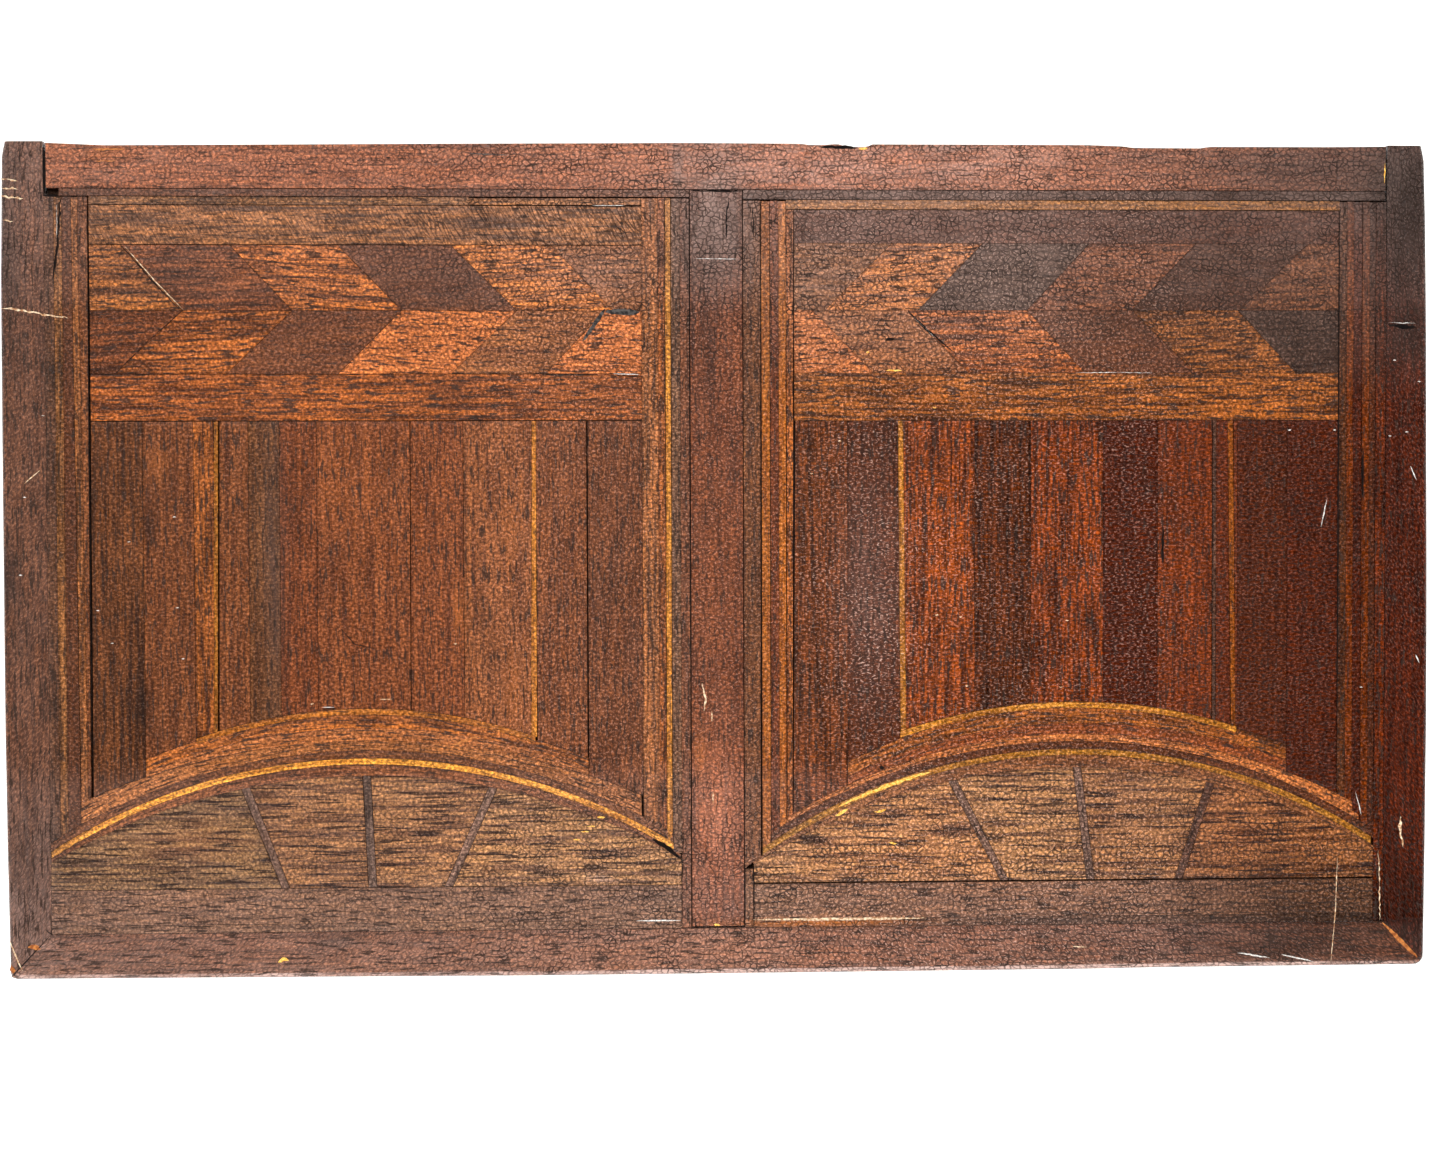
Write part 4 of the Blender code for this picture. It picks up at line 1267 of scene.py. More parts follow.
@dataclass(frozen=True)
class Moulding:
    """A length of moulded board, ruled between its inner line and its outline in plan."""

    name: str  # The CAD node, which the piece is named for
    wood: Wood
    slot: str  # The record's finish
    inner: Edge  # Its inner line in plan
    outer: Edge  # Its outline in plan, which runs the same way
    width: float  # Its width at right angles to it, in mm
    section: Section  # Points round its section: mm in from the outline, and height
    shade: float
    step: float = GRID  # The distance between points along it, in mm
    side_step: float = 1.6  # The distance between points round its section
    feet: Pair | None = None  # The shares along it where an opening between feet starts and ends
    opening: Pair = (11.0, 8.0)  # The opening's height, and the radius of its upper corners
    still: float = 16.0  # The height from which up the opening moves nothing

    def build(self) -> None:
        """Make the board: point (u, s) is outer(u) + s (inner(u) - outer(u)), at the ring's height.

        Over an opening, the lower part of the section rises in proportion, to the opening's
        height, with a quarter circle at each end.
        """
        length = steps(self.outer.at(np.linspace(0, 1, 400))).sum()
        u = np.linspace(0, 1, max(2, math.ceil(length / self.step) + 1))
        if self.feet:
            # Stations at the opening's two ends and round its upper corners
            edges = [e for f in self.feet for e in (f - 0.1 / length, f, f + 0.1 / length)]
            arcs = [
                f + side * (self.opening[1] * (1 - math.cos(a))) / length
                for f, side in zip(self.feet, (1, -1))
                for a in np.radians(np.arange(10, 91, 10))
            ]
            u = np.unique(np.r_[u[::4], 1.0, edges, arcs])
        ring = split(self.section, self.side_step)
        outer, inner = self.outer.at(u), self.inner.at(u)
        share = ring[:, 0] / self.width
        plan = outer[:, None] + (inner - outer)[:, None] * share[None, :, None]
        x, y = plan[..., 0], plan[..., 1]
        height = np.repeat(ring[None, :, 1], len(u), 0)
        if self.feet:
            low, still = self._low(u * length, length)[:, None], self.still
            height = np.where(height < still, low + height * (still - low) / still, height)
        else:
            top = height > LID_TOP - TOP_BAND
            height = np.where(top, height + (LID.height(x, y) - LID_TOP), height)
            height = height - self._wear(x, y, share) * (height > LID_TOP - TOP_BAND)
        points = np.concatenate([plan, height[..., None]], -1)
        piece = carried(self.name, "moulding", self.wood, points, u * length, ring)
        if self.feet:
            plain(piece, self.shade)
        else:
            x, y, z = place_points(piece)
            look, side = LID.look(x, y), smooth(LID_TOP - z, 1.0, 2.5)
            # Painted shade: the sides below the top are darker, and take less of the haze
            look[:, 0] *= self.shade * (1 - 0.15 * side)
            look[:, 2] *= 1 - 0.6 * side
            # The front arris gets a painted highlight, laid on as haze
            look[:, 2] += self._worn_arris(x, y)
            paint(piece, look, LID.film(x, y))
        register(piece, [self.name])

    @staticmethod
    def _worn_arris(x: Array, y: Array) -> Array:
        """A painted highlight: a pale broken line on the arris, 0.3 to 1.3 mm inside the lid's
        front.
        """
        inside = y - np.interp(x, *np.array(Outline().front).T)
        arris = smooth(inside, 0.2, 0.5) * (1 - smooth(inside, 1.1, 1.5)) * (np.abs(x) < 173)
        wave = 0.5 + 0.5 * np.sin(x / 5.0 + 2 * np.sin(x / 13.0))
        return 1.6 * arris * (0.4 + 0.6 * wave) * (1 - 0.6 * smooth(np.abs(x - 50), 70, 120))

    @staticmethod
    def _wear(x: Array, y: Array, share: Array) -> Array:
        """How far the top is worn down, in mm: up to 0.25 mm towards its outer arris."""
        wave = 0.5 + 0.5 * np.sin(x / 31.0 + y / 13.0)
        return 0.25 * (1 - share[None]) ** 2 * (0.4 + 0.6 * wave)

    def _low(self, run: Array, length: float) -> Array:
        """The underside's height along the board, in mm: 0 at the feet, higher between them."""
        rise, radius = self.opening
        start, end = (f * length for f in self.feet)
        inside = np.minimum(run - start, end - run)
        bend = np.clip(inside, 0, radius)
        arc = rise - radius + np.sqrt(radius**2 - (radius - bend) ** 2)
        return np.where(inside < 0, 0.0, arc)


@dataclass(frozen=True)
class Outline:
    """The lid's outline in plan, with its slight bows, rounded corners and chips."""

    left: Section = (  # y and x of points up the left side
        (-98, -175.2), (-70, -175.6), (-42, -175.75), (14, -175.7), (70, -175.45), (98, -174.95),
    )
    right: Section = (  # y and x of points up the right side
        (-98, 175.3), (-70, 175.65), (-42, 175.85), (0, 175.7), (56, 175.25), (84, 174.8),
        (98, 174.4),
    )
    front: Section = (  # x and y of points along the front
        (-170, -101.8), (-110, -102.05), (-50, -102.3), (90, -102.2), (110, -102), (170, -101.9),
    )
    back: Section = (  # x and y of points along the back
        (-170, 102.2), (-150, 101.4), (-110, 101.7), (-70, 102), (-10, 102.4), (19.5, 102.3),
        (20.5, 102), (25.5, 102), (26.5, 102.2), (28.5, 102.2), (30.5, 101.6), (35.5, 101.5),
        (36.2, 102.2), (90, 102.2), (99, 101.9), (101, 101.55), (118, 101.5), (120, 101.85),
        (150, 101.9), (170, 102.1),
    )
    corners: Pair = (1.4, 2.4)  # The radii of the left and right front corners, in mm
    corner_x: Pair = (-175.2, 175.3)  # The x of the lid's sides at those corners
    corner_y: Pair = (-101.85, -101.95)  # The y of the lid's front at those corners
    quarter: tuple[float, ...] = (45.0, 56.25, 67.5, 78.75)  # Degrees round half a corner

    def side(self, line: Section, end: int, first: Pair) -> Bent:
        """A side of the lid, from the middle of its rounded front corner to its back corner.

        Args:
            line: y and x of points along the side.
            end: 0 for the left side, 1 for the right side.
            first: The point in the middle of that corner, where the front ends.

        Returns:
            The side, drawn in by a small curve over the last 1.5 mm at the back.
        """
        sign, front, corner = (-1, 1)[end], self.corner_y[end], self.corners[end]
        y = np.linspace(front + corner, LID_BACK, 60)
        x = np.interp(y, *np.array(line).T)
        turn = np.radians(self.quarter[1:])
        edge = [x[0] - sign * corner * (1 - np.sin(turn)), front + corner * (1 - np.cos(turn))]
        bend = np.clip(y - (LID_BACK - 1.5), 0, None) ** 2 / 3 * sign
        return Bent.through(np.r_[[first], np.stack(edge, -1), np.stack([x - bend, y], -1)])

    def front_line(self) -> Bent:
        """The lid's front, from the middle of its left front corner to that of its right one."""
        left, right = self.corners
        x = np.linspace(self.corner_x[0] + left, self.corner_x[1] - right, 90)
        y = np.interp(x, *np.array(self.front).T)
        turn = np.radians(self.quarter)
        start = np.stack([x[0] - left * np.cos(turn), y[0] + left * (1 - np.sin(turn))], -1)
        end = np.stack([x[-1] + right * np.cos(turn), y[-1] + right * (1 - np.sin(turn))], -1)[::-1]
        return Bent.through(np.r_[start, np.stack([x, y], -1), end])

    def back_line(self) -> Bent:
        """The back strip's back edge, with its chips."""
        x = np.unique(np.r_[np.linspace(-GROUND, GROUND, 120), [p[0] for p in self.back]])
        x = x[np.abs(x) <= GROUND]
        return Bent.through(np.stack([x, np.interp(x, *np.array(self.back).T)], -1))


@dataclass(frozen=True)
class LidFrame:
    """The lid's ground, its moulded edging on three sides, its back strip and its centre stile."""

    outline: Outline = Outline()
    side_width: float = 11.2  # The width of the side edgings, in mm
    front_width: float = 11.8
    low: float = 197.0  # The height of the edging's lower arris, over the floor
    ovolo: float = 4.5  # The radius of the ovolo under the edging
    arris: float = 1.5  # The radius of the edging's top arris

    def section(self, width: float) -> Section:
        """The edging's section, from its top inner arris outward: a round, then an ovolo below."""
        return (
            (width - 0.04, LID_TOP - 0.06),
            (width - 0.22, LID_TOP),
            *round_over((self.arris, LID_TOP - self.arris), self.arris, 180, 8)[::-1],
            *round_over((self.ovolo, self.low + self.ovolo), self.ovolo, 270, 6)[::-1],
            (width - 0.04, self.low),
        )

    def build(self) -> None:
        """Make the edgings, the back strip and the strings by it, the stile and the ground."""
        line = self.outline
        front = line.front_line()
        left = line.side(line.left, 0, front.points[0])
        right = line.side(line.right, 1, front.points[-1])
        seam = (FRONT_SEAM, LID_BACK)
        front_seam = across((-SIDE_SEAM, SIDE_SEAM), FRONT_SEAM)
        for side, wood, outer, inner, width, shade in (
            ("front", Wood.FRAME, front, front_seam, self.front_width, 1.62),
            ("left", Wood.FRAME, left, along(-SIDE_SEAM, seam), self.side_width, 1.05),
            ("right", Wood.SIDE, right, along(SIDE_SEAM, seam), self.side_width, 1.0),
        ):
            name, section = f"lid_edging_{side}", self.section(width)
            Moulding(name, wood, "frame_mahogany", inner, outer, width, section, shade).build()
        near, far = across((-GROUND, GROUND), 91.1), line.back_line()
        self._strip("lid_back_strip", (Wood.BACK, 1.2, 0.0), near, far, (0.4, 0.05, 0.05, 0.02))
        for name, x, y, tone in (
            ("lid_back_line_left", (-161.0, -8.3), (89.2, 91.0), (Wood.ROSEWOOD, 1.67, -0.6)),
            ("lid_back_line_right", (4.9, 164.3), (88.7, 91.0), (Wood.ROSEWOOD, 0.41, -0.57)),
            ("left_top_string", (-62.0, -20.1), (87.2, 88.9), (Wood.WALNUT, 2.4, -0.32)),
            ("left_top_fill", (-153.9, -62.0), (87.1, 89.1), (Wood.WALNUT, 1.46, -0.45)),
            ("right_top_string", (15.5, 152.9), (86.3, 88.6), (Wood.AMBER, 0.77, -0.59)),
        ):
            node = f"{'left' if x[0] < 0 else 'right'}_top_band"
            dark = tone[0] is Wood.ROSEWOOD
            slot = "dark_rosewood" if dark else "satinwood_string"
            Slab(name, node, tone, *level(x, y), slot, sink=0.0 if dark else 0.01).build()
        near, far = level((-8.15, 4.75), (-90.4, 90.9))
        gaps = (0.06, 0.06, 0.2, 0.05)
        self._strip("lid_centre_stile", (Wood.CENTRE, 1.0, 0.0), near, far, gaps, 90.0)
        low, high = (-GROUND, -90.4, 204.0), (GROUND, 101.4, 214.2)
        Board("lid_ground_board", Wood.GROUND, "ground_board", low, high, 0, 0.4, 0.8).build()

    @staticmethod
    def _strip(
        name: str, tone: Tone, near: Edge, far: Edge, gaps: tuple[float, ...], grain: float = 0.0
    ) -> None:
        """Make a piece of the frame that lies in the lid's top."""
        Slab(name, name, tone, near, far, "frame_mahogany", grain, gaps).build()


@dataclass(frozen=True)
class Board:
    """A squared board with eased arrises."""

    name: str  # The CAD node, which the piece is named for
    wood: Wood
    slot: str  # The record's finish
    low: tuple[float, float, float]  # Its lowest corner, in mm
    high: tuple[float, float, float]  # Its highest corner, in mm
    axis: int  # The axis that its grain runs along: 0 for x, 1 for y
    ease: float  # The radius of its arrises, in mm
    shade: float
    step: float = 9.0  # The distance between its points, in mm

    def build(self) -> None:
        """Make the board: a rounded rectangle carried along the grain, drawn in at both ends."""
        ease, low, high = self.ease, np.array(self.low), np.array(self.high)
        a, b = (axis for axis in (0, 1, 2) if axis != self.axis)
        corners = (
            (high[a] - ease, high[b] - ease, 90),
            (high[a] - ease, low[b] + ease, 0),
            (low[a] + ease, low[b] + ease, -90),
            (low[a] + ease, high[b] - ease, 180),
        )
        rounds = (round_over((x, z), ease, start, 3) for x, z, start in corners)
        ring = split(sum(rounds, ()), self.step)
        reach = high[self.axis] - low[self.axis]
        run = np.linspace(0, reach, math.ceil(reach / self.step) + 1)[1:-1]
        run = np.r_[0, 0.3 * ease, ease, run, reach - ease, reach - 0.3 * ease, reach]
        inset = np.clip(ease - np.minimum(run, reach - run), 0, ease)
        inset = ease - np.sqrt(ease**2 - inset**2)
        points = np.empty((len(run), len(ring), 3))
        points[..., self.axis] = low[self.axis] + run[:, None]
        for i, axis in enumerate((a, b)):
            middle, half = (low[axis] + high[axis]) / 2, (high[axis] - low[axis]) / 2
            points[..., axis] = middle + (ring[None, :, i] - middle) * (1 - inset[:, None] / half)
        piece = carried(self.name, "plank", self.wood, points, run, ring)
        plain(piece, self.shade)
        register(piece, [self.name])


@dataclass(frozen=True)
class Case:
    """The case under the lid: front and back lapping the two ends, and a bottom let in between."""

    half: float = 163.9  # Half the case's length, in mm
    front: float = -89.9  # The y of its front
    back: float = 100.5
    foot: float = 16.0  # The height of its lower edge
    top: float = 203.7
    wall: float = 8.0  # The thickness of its walls
    floor: float = 6.0  # The thickness of its bottom
    room: float = 0.3  # Room at the joints inside

    def build(self) -> None:
        """Make the four walls and the bottom."""
        half, inside, wall = self.half, self.half - self.wall, self.wall
        y = (self.front + wall + self.room, self.back - wall - self.room)
        for name, low, high, axis, shade in (
            ("case_front", (-half, self.front), (half, self.front + wall), 0, 1.0),
            ("case_back", (-half, self.back - wall), (half, self.back), 0, 0.85),
            ("case_left_end", (-half, y[0]), (-inside, y[1]), 1, 0.95),
            ("case_right_end", (inside, y[0]), (half, y[1]), 1, 0.95),
        ):
            low, high = (*low, self.foot), (*high, self.top)
            Board(name, Wood.CASE, "case_mahogany", low, high, axis, 0.5, shade).build()
        low = (-inside + self.room, y[0], self.foot)
        high = (inside - self.room, y[1], self.foot + self.floor)
        Board("case_bottom", Wood.GROUND, "ground_board", low, high, 0, 0.4, 1.2).build()


@dataclass(frozen=True)
class Base:
    """The bracket base: mitred boards in front and at the sides, and a plain rail at the back."""

    side: float = 171.35  # Half its length over the boards, in mm
    front: float = -97.2  # The y of its front
    back: float = 100.5
    thick: float = 7.0  # The boards' thickness
    front_feet: Pair = (-125.2, 125.2)  # The x where the opening in front starts and ends
    side_feet: Pair = (-59.2, 62.5)  # The y where the opening of a side board starts and ends
    mitre: float = 0.15  # Room at the mitres
    room: float = 0.3  # Room at the ends of the rail
    step: float = 3.0  # The distance between the boards' points

    def section(self, height: float, ovolo: float) -> Section:
        """A board's section: up its face, over the ovolo, down its inner side."""
        return (
            (0.3, 0.0),
            (0.0, 0.3),
            *round_over((ovolo, height - ovolo), ovolo, 180, 6),
            (self.thick - 0.3, height),
            (self.thick, height - 0.3),
            (self.thick, 0.0),
        )

    def build(self) -> None:
        """Make the three moulded boards and the back rail."""
        side, front, back, gap = self.side, self.front, self.back, self.mitre
        inner, inside = side - self.thick, front + self.thick
        long, ends = (-side + gap, side - gap), (front + gap, back)
        short, inner_ends = (-inner + gap, inner - gap), (inside + gap, back)
        rail = (-inner + self.room, inner - self.room)
        board = (self.section(34.0, 4.0), 0.95)
        for name, outer, line, feet, (section, shade) in (
            ("front", across(long, front), across(short, inside), self.front_feet, board),
            ("left", along(-side, ends), along(-inner, inner_ends), self.side_feet, board),
            ("right", along(side, ends), along(inner, inner_ends), self.side_feet, board),
            (
                "back_rail",
                across(rail, back),
                across(rail, back - self.thick),
                self.front_feet,
                (self.section(15.7, 0.5), 0.8),
            ),
        ):
            axis = 0 if feet is self.front_feet else 1
            start, end = outer.start[axis], outer.end[axis]
            shares = tuple((f - start) / (end - start) for f in feet)
            name, slot, step = f"base_{name}", "case_mahogany", self.step
            size = (self.thick, section, shade, step, step, shares)
            Moulding(name, Wood.CASE, slot, line, outer, *size).build()


@dataclass(frozen=True)
class Matter:
    """What shows in a chip, a scratch or an open joint."""

    name: str  # What the real surface is
    dark: str
    light: str
    grain: float  # The size of its mottle, in mm
    rough: float

    @cache
    def material(self) -> bpy.types.Material:
        """Build the mottled material once."""
        material = bpy.data.materials.new(self.name)
        n = Nodes.of(material)
        place = add(n.tree, "ShaderNodeTexCoord").outputs["Object"]
        links = {"Vector": place, "Scale": 1 / (self.grain * MM), "Detail": 2.0}
        share = n.band(add(n.tree, "ShaderNodeTexNoise", links).outputs[0], 0.35, 0.65)
        colour = n.mix(share, linear(self.dark), linear(self.light))
        n.surface({"Base Color": colour, "Roughness": self.rough})
        return material


class Bare(Enum):
    """What chips and scratches bare, what fills the open joints, and dust and painted highlights.
    """

    # Wood laid bare where a scratch went through the varnish: dry, pale and mat
    CREAM = Matter("bare_scratched_wood", "#a8764e", "#f0d9b8", 0.8, 0.7)
    # Old hide glue and bright new wood in a chip: yellow and glassy
    YELLOW = Matter("glue_in_a_chip", "#d98a22", "#ffd873", 0.5, 0.35)
    # An open joint full of dirt: near black and mat
    # Near black and mat: dirt in an open joint, and the dark inside of a chip and of a dent
    OPEN = Matter("dirt_in_an_open_joint", "#060404", "#1a100c", 0.7, 0.8)
    # Lint and dust caught in the crazing, and painted highlights along joints and dents: white and
    # mat
    DUST = Matter("dust_in_the_crazing", "#b4aca4", "#f4f0ea", 0.4, 0.9)
    # Grey putty in a gap
    PUTTY = Matter("grey_putty", "#1c1a1a", "#56504c", 0.9, 0.7)
    # Shellac worn through to orange wood
    WORN = Matter("worn_through_shellac", "#8a4a22", "#c47c40", 0.9, 0.5)


@dataclass(frozen=True)
class Mark:
    """A scratch, crack, chip, fleck or painted highlight on the lid."""

    width: float  # Its width at its widest, in mm
    ragged: float  # How uneven its width is, from 0 to 1
    path: Section  # Its points in lid mm, from one end to the other

    @classmethod
    def of(cls, width: float, *rest: float) -> "Mark":
        """A mark from its width, its raggedness unless that is 0.5, and x and y of its points.

        Args:
            width: Its width, in mm.
            rest: The other numbers. With a single point they make a fleck along x.

        Returns:
            The mark.
        """
        ragged, *places = rest if len(rest) % 2 else (0.5, *rest)
        if len(places) == 2:
            x, y = places
            places = (x - FLECK, y, x + FLECK, y)
        return cls(width, ragged, tuple(zip(places[::2], places[1::2])))

    def sliver(self, sheets: Sheets, name: str, proud: float = 0.035) -> None:
        """Add a sliver: four points round its path at each station, (±w/2, 0), top and bottom.

        The half-width w/2 is √(s(1-s)) of the width along its length s, times an uneven factor.

        Args:
            sheets: The mesh that takes it.
            name: Its name, for its unevenness.
            proud: How far it stands over the lid, in mm.
        """
        line = Bent(self.path) if len(self.path) > 2 else Straight(*self.path)
        length = steps(line.at(np.linspace(0, 1, 50))).sum()
        count = max(5, math.ceil(length / 0.8) + 1)
        s = np.linspace(0, 1, count)
        middle = line.at(s)
        rng = chance(name)
        course = np.gradient(middle, axis=0)
        course /= np.hypot(*course.T)[:, None]
        side = np.stack([-course[:, 1], course[:, 0]], -1)
        uneven = 1 - self.ragged * rng.uniform(0, 1, count)
        half = 0.5 * self.width * np.sqrt(np.clip(4 * s * (1 - s), 0.02, None)) * uneven
        sway = rng.uniform(-0.3, 0.3, count) * self.width * self.ragged
        middle = middle + side * sway[:, None]
        # Its sides lie just under the film, its middle stands proud and its underside is buried
        offsets, lifts = np.array([-1.0, 0.0, 1.0, 0.0]), np.array([-0.02, proud, -0.02, -0.15])
        plan = middle[:, None] + side[:, None] * (half[:, None] * offsets)[..., None]
        height = LID.height(*middle.T)[:, None] + lifts
        grain = plan * MM
        points = np.concatenate([plan, height[..., None]], -1)
        closed = np.concatenate([grain, grain[:, :1]], 1)
        sheets.add_tube(points, closed, [(grain[end], grain[end]) for end in (0, -1)])


@dataclass(frozen=True)
class Marks:
    """All the marks on the lid's top, each a thin closed sliver that lies in the varnish."""

    rows: dict[Bare, tuple[tuple[float, ...], ...]]  # What Mark.of takes, for each mark of a kind

    def build(self) -> None:
        """Make one object for each kind of mark."""
        for bare in Bare:
            sheets = Sheets()
            for number, row in enumerate(self.rows[bare]):
                Mark.of(*row).sliver(sheets, f"{bare.name}{number}")
            piece = sheets.build(f"lid_marks_{bare.name.lower()}", bare.value)
            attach(piece, "root")
            LOG.info("%s: %d marks", piece.name, len(self.rows[bare]))


MARKS = {
    # Scratches of the left edging, the stile and the front, a painted highlight along the joint in
    # front of the right fan, and flecks of the staves
    Bare.CREAM: (
        (0.6, 0.9, -174.8, 93.3, -170.8, 92.7), (1, 0.9, -175, 91.2, -170.6, 90.6),
        (0.7, 0.9, -175, 89, -169.4, 88.4), (0.6, 0.9, -174.3, 83.3, -172, 82.9),
        (0.8, 0.7, -175, 62, -170, 61.6, -165, 60.4, -159, 59.7), (0.3, -170, 19.5, -166, 23),
        (0.5, -175, -92, -172, -99.5), (0.3, -145.2, 77, -138.4, 69, -131.3, 61.6),
        (0.75, 0.4, 7, -88.7, 28, -88.8, 50, -88.7), (0.9, -5.5, -30, -4.6, -34, -5, -37),
        (0.7, -3.2, -37, -3, -39.5), (0.6, -3, -57, -2.8, -60), (0.6, 28.6, 29.5),
        (0.5, 21.6, 21.5), (0.5, 52.6, -13.5), (0.4, 58.5, -14), (0.5, 60, -31), (0.5, 83.5, -31.5),
        (0.4, 85, -15), (0.4, 44, -23), (0.35, 153, -74.5, 152.6, -88, 151.5, -100.5),
        (1, 0.7, 169, -64.5, 168.8, -68, 169.6, -72),
        (0.6, 0.9, 163.3, -73, 163.6, -80, 163.9, -90.4), (0.5, -101, -34.5),
        (0.35, -84.5, -33.5, -81.5, -33.5), (0.5, -66, -20), (0.3, 86, -96.2, 90, -96.4),
    ),
    # Chips of the back strip, the chevrons, the right fan, the left fan and the front
    Bare.YELLOW: (
        (0.5, 164, 93, 164.1, 98), (0.8, 33.4, 101.1, 35.6, 101.2), (0.8, -2.8, -89.9, -1.2, -90),
        (0.7, 35.6, 51.3), (0.5, 40, 46.8, 44, 46.8), (0.7, 51.6, 37.7, 52.5, 37.7),
        (1.1, 0.4, 28, -60.9, 33, -58.6, 40, -55.8, 47, -53.5, 51, -52.4),
        (1.1, 37, -62.3, 40, -61.7), (0.9, 40.6, -70, 42.6, -70), (0.7, -31.5, -63, -29.5, -63),
        (0.6, -34, -65.2, -32, -65.2), (0.6, -35.5, -66.5, -33.5, -66.5),
        (0.6, -37.5, -68.5, -35.5, -68.5), (1.1, 0.2, -109.8, -98.1, -108.5, -97.2, -107.3, -97.6),
        (0.9, 0.3, 27.4, -63.2, 30.6, -61.4),
    ),
    # Joints round the back corner, between the panels' pieces, the dark inside of chips and a dent,
    # and joints under the painted highlights
    Bare.OPEN: (
        (0.9, -82, 98.5, -81, 98.5), (1, 24, 101.4, 28, 101.5, 33, 101.2),
        (0.75, 0.1, -164.35, 101.5, -164.4, 89.5), (0.6, 0.2, -164.8, 89.2, -161, 89.2),
        (1.1, -160.6, 88.8, -160.9, 84, -161.5, 76, -162.6, 69),
        (0.35, 0.3, -164.7, -90.5, -175.2, -101.6), (0.6, -166.2, -89.5, -164.6, -90.6),
        (0.35, 0.4, -154.1, 86, -154.3, 30, -154.5, -52),
        (0.28, 0.3, -8.25, 88, -8.3, 0, -8.25, -70), (0.45, 0.3, 17.4, 35, 17.3, 16, 17.2, -3),
        (0.5, 0.4, 152.8, 86, 152.8, 20, 152.8, -44), (0.8, 0.2, 159, 28, 159, 15),
        (0.3, 0.3, 9.25, 88, 9.25, 0, 9.2, -66), (1.2, 0.3, -18, -68.5, -14.5, -70.4, -11, -73.4),
        (0.45, -146, 77, -139, 69, -131.8, 61.2), (0.3, -131.8, 61.2, -140, 54, -148, 46),
        (0.45, -28, 45.6, -19.5, 45.4), (0.3, 44.5, 17, 49, 19.5),
        (0.7, 45.5, 61.3, 50, 57, 57, 51.2), (0.4, 0.3, 4.9, -75, 4.9, -90),
        (0.4, 0.3, 7.15, -75, 7.15, -90), (0.3, -33, 86.9, -20.5, 86.9),
        (0.5, -99, -35.8, -95, -35.8), (0.3, -94, -16, -90.5, -20, -86, -21),
        (1.2, 0.1, 38.3, -51.2, 39.4, -51.2), (0.9, 108.9, 8, 108.9, -1), (0.35, -7, 75.4, 4, 75.5),
        (0.6, 0.6, -7.8, 90.7, 4.6, 90.7), (0.9, 0.7, 1.3, 89, 1, 84, 0.7, 79),
        (0.7, 0.6, 7.3, 87, 7.6, 79), (1, 0.2, 40, 54.5, 42.2, 54.5), (1.3, 165, 57.9, 172, 57.3),
    ),
    # Painted highlights along joints, at a dent of the right edging and on wrinkles of the front
    # edging, and dust specks of the right edging, the right panel and the left one
    Bare.DUST: (
        (0.3, 0.9, -161.4, 87, -161.5, 79), (0.3, -27, 46.05, -20.5, 45.85),
        (0.2, 0.8, 47, 59.7, 52, 55.1), (0.22, 0.9, 87, 46.2, 96, 46.3, 106, 46.2),
        (0.35, 0.3, -22, -88.7, -11, -88.7), (0.2, -32, 87.1, -24, 87.1),
        (0.25, -98.5, -35.4, -95.5, -35.4), (0.25, -7, 74.2, 4, 74.1), (0.35, 171, 23, 172.5, 19.5),
        (0.35, 150, 15, 148.5, 8), (0.35, 172.5, -24, 173.5, -26), (0.4, 158.8, -32),
        (0.35, 157.5, -58, 159, -64), (0.4, 140.5, 32), (0.4, 151.8, 32), (0.4, 165.7, 30.5),
        (0.4, 170, 31.5), (0.4, 166.8, 49.3), (0.35, 173, 44), (0.3, 0.9, 165, 58.6, 172, 58.4),
        (0.35, -152.7, -11.4), (0.35, -133.5, -10.8), (0.35, -149.3, -19.4), (0.35, -132.2, -23.3),
        (0.35, -134, 11.3), (0.35, -145, 5.3), (0.4, -170, 16.2), (0.4, -171.2, -2.7),
        (0.35, -165.3, 36), (0.5, 128, -98.2, 136, -99.6), (0.4, 139, -98.8, 147, -100.6),
    ),
    # The filled gaps of the back strip and of the left chevrons
    Bare.PUTTY: (
        (0.6, -62, 99.6, -52, 99.3), (1.7, 0.25, -28.9, 61.2, -24, 61.1, -20.5, 61.1),
        (1.2, 0.25, -34.5, 54, -31, 58.8, -29, 62),
    ),
    # Worn places of the corners, the edgings and a stave
    Bare.WORN: (
        (0.7, -153, 100.4, -145, 100.5), (0.5, -152, 97.5, -147, 97.6),
        (1.6, -170.5, -93.5, -167.5, -94.2), (1.4, -174.6, -98, -174, -100),
        (1.3, 0.3, 164.4, -91, 173.4, -99.8), (0.8, -67, -45, -60, -42.5),
    ),
}


@dataclass(frozen=True)
class Panel:
    """One panel of parquetry, with everything that lies in it."""

    chevrons: ChevronRow
    staves: StaveRow
    borders: tuple[Border, Border]
    fan: Fan

    def build(self) -> None:
        """Lay the panel's pieces, from the back to the front."""
        for part in (self.chevrons, self.staves, self.staves.arch, *self.borders, self.fan):
            part.build()


@dataclass(frozen=True)
class Softbox:
    """A soft light panel that looks at the lid."""

    name: str
    azimuth: float  # Where it stands, in degrees from the right round by the back
    tilt: float  # How far it stands off the vertical, in degrees
    size: Pair  # Its width and height, in metres
    radiance: float
    mirrored: bool = False  # Whether the varnish mirrors it; the others are cross-polarised
    distance: float = 2.2  # How far it is from the lid, in metres

    def build(self) -> None:
        """Place the light on its sphere about the lid, facing it."""
        light = bpy.data.lights.new(self.name, "AREA")
        light.shape = "RECTANGLE"
        light.size, light.size_y = self.size
        light.energy = 4 * self.radiance * self.size[0] * self.size[1]
        piece = bpy.data.objects.new(self.name, light)
        turn, tilt = math.radians(self.azimuth), math.radians(self.tilt)
        spot = [math.cos(turn) * math.sin(tilt), math.sin(turn) * math.sin(tilt), math.cos(tilt)]
        piece.location = np.array(spot) * self.distance + np.array([0, 0, LID_TOP * MM])
        piece.rotation_euler = (tilt, 0.0, turn + math.pi / 2)
        piece.visible_glossy = self.mirrored
        bpy.context.scene.collection.objects.link(piece)


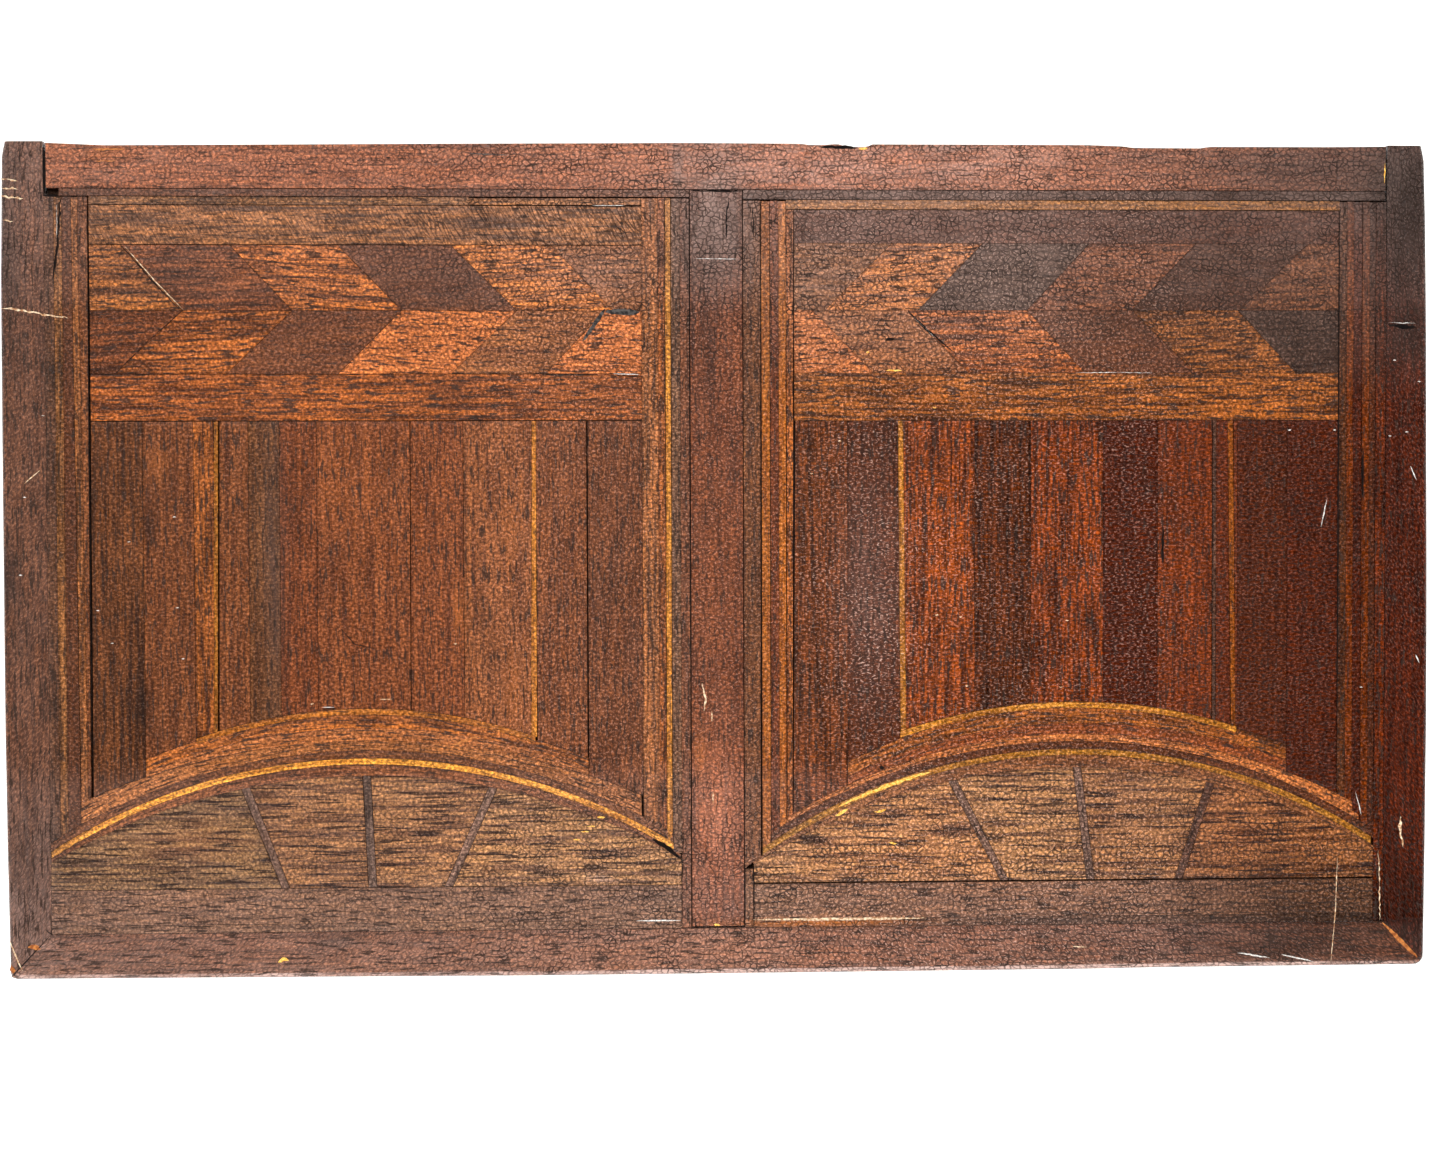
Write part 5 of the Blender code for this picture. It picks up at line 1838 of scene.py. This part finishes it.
@dataclass(frozen=True)
class Studio:
    """The pale floor, the soft light and the camera."""

    camera_at: tuple[float, float, float] = (-0.01756, 0.00835, 0.70948)  # In metres
    camera_turn: tuple[float, float, float] = (-1.4978, -1.9972, -0.1922)  # In degrees
    lens: float = 50.0  # In mm, over a 36 mm wide picture
    floor: str = "#f6f5f3"
    boxes: tuple[Softbox, ...] = (
        Softbox("back_panel", 95, 26, (1.3, 0.45), 4.0, True),
        Softbox("back_left_panel", 140, 54, (1.0, 1.0), 7.2),
        Softbox("right_panel", 15, 60, (1.0, 1.0), 8.0),
        Softbox("front_left_panel", 225, 60, (1.0, 1.0), 7.0),
        Softbox("front_right_panel", 300, 62, (1.0, 1.0), 5.0),
        Softbox("front_strip", 268, 70, (1.8, 0.12), 14.0, True),
    )

    def build(self) -> None:
        """Set up the floor, the lights, the surroundings and the camera."""
        scene = bpy.context.scene
        scene.view_settings.view_transform = "Standard"
        self._floor()
        self._surroundings()
        for softbox in self.boxes:
            softbox.build()
        camera = bpy.data.cameras.new("camera")
        camera.lens = self.lens
        camera.sensor_width = 36.0
        camera.sensor_fit = "HORIZONTAL"
        camera.clip_start = 0.01
        piece = bpy.data.objects.new("camera", camera)
        piece.location = self.camera_at
        piece.rotation_euler = [math.radians(a) for a in self.camera_turn]
        scene.collection.objects.link(piece)
        scene.camera = piece

    def _floor(self) -> None:
        """A wide, plain, pale floor that glows a little, as a lit sweep of paper does."""
        mesh = bpy.data.meshes.new("floor")
        mesh.from_pydata([(-6, -6, 0), (6, -6, 0), (6, 6, 0), (-6, 6, 0)], [], [(0, 1, 2, 3)])
        material = bpy.data.materials.new("white_paper_sweep")
        pale = linear(self.floor)
        glow = {"Emission Color": pale, "Emission Strength": 0.4}
        Nodes.of(material).surface({"Base Color": pale, "Roughness": 0.9, **glow})
        mesh.materials.append(material)
        piece = bpy.data.objects.new("floor", mesh)
        bpy.context.scene.collection.objects.link(piece)

    def _surroundings(self) -> None:
        """A soft room: dim above, where the lid would mirror it, and bright near the horizon."""
        world = bpy.data.worlds.new("soft_room")
        n = Nodes.of(world)
        way = add(n.tree, "ShaderNodeTexCoord").outputs["Generated"]
        up = add(n.tree, "ShaderNodeSeparateXYZ", {0: way}).outputs[2]
        light = n.band(up, 0.75, 0.05, (0.02, 0.95))
        room = {"Color": linear("#fffdfa"), "Strength": light}
        back = add(n.tree, "ShaderNodeBackground", room)
        add(n.tree, "ShaderNodeOutputWorld", {"Surface": back.outputs[0]})
        world.cycles_visibility.glossy = False
        bpy.context.scene.world = world


def main() -> None:
    """Build the chest from its base up, then the studio round it."""
    Base().build()
    Case().build()
    LidFrame().build()
    Panel(LEFT_CHEVRONS, LEFT_STAVES, LEFT_BORDERS, LEFT_FAN).build()
    Panel(RIGHT_CHEVRONS, RIGHT_STAVES, RIGHT_BORDERS, RIGHT_FAN).build()
    Marks(MARKS).build()
    Studio().build()


if __name__ == "__main__":
    logging.basicConfig(level=logging.INFO, format="%(message)s")
    main()
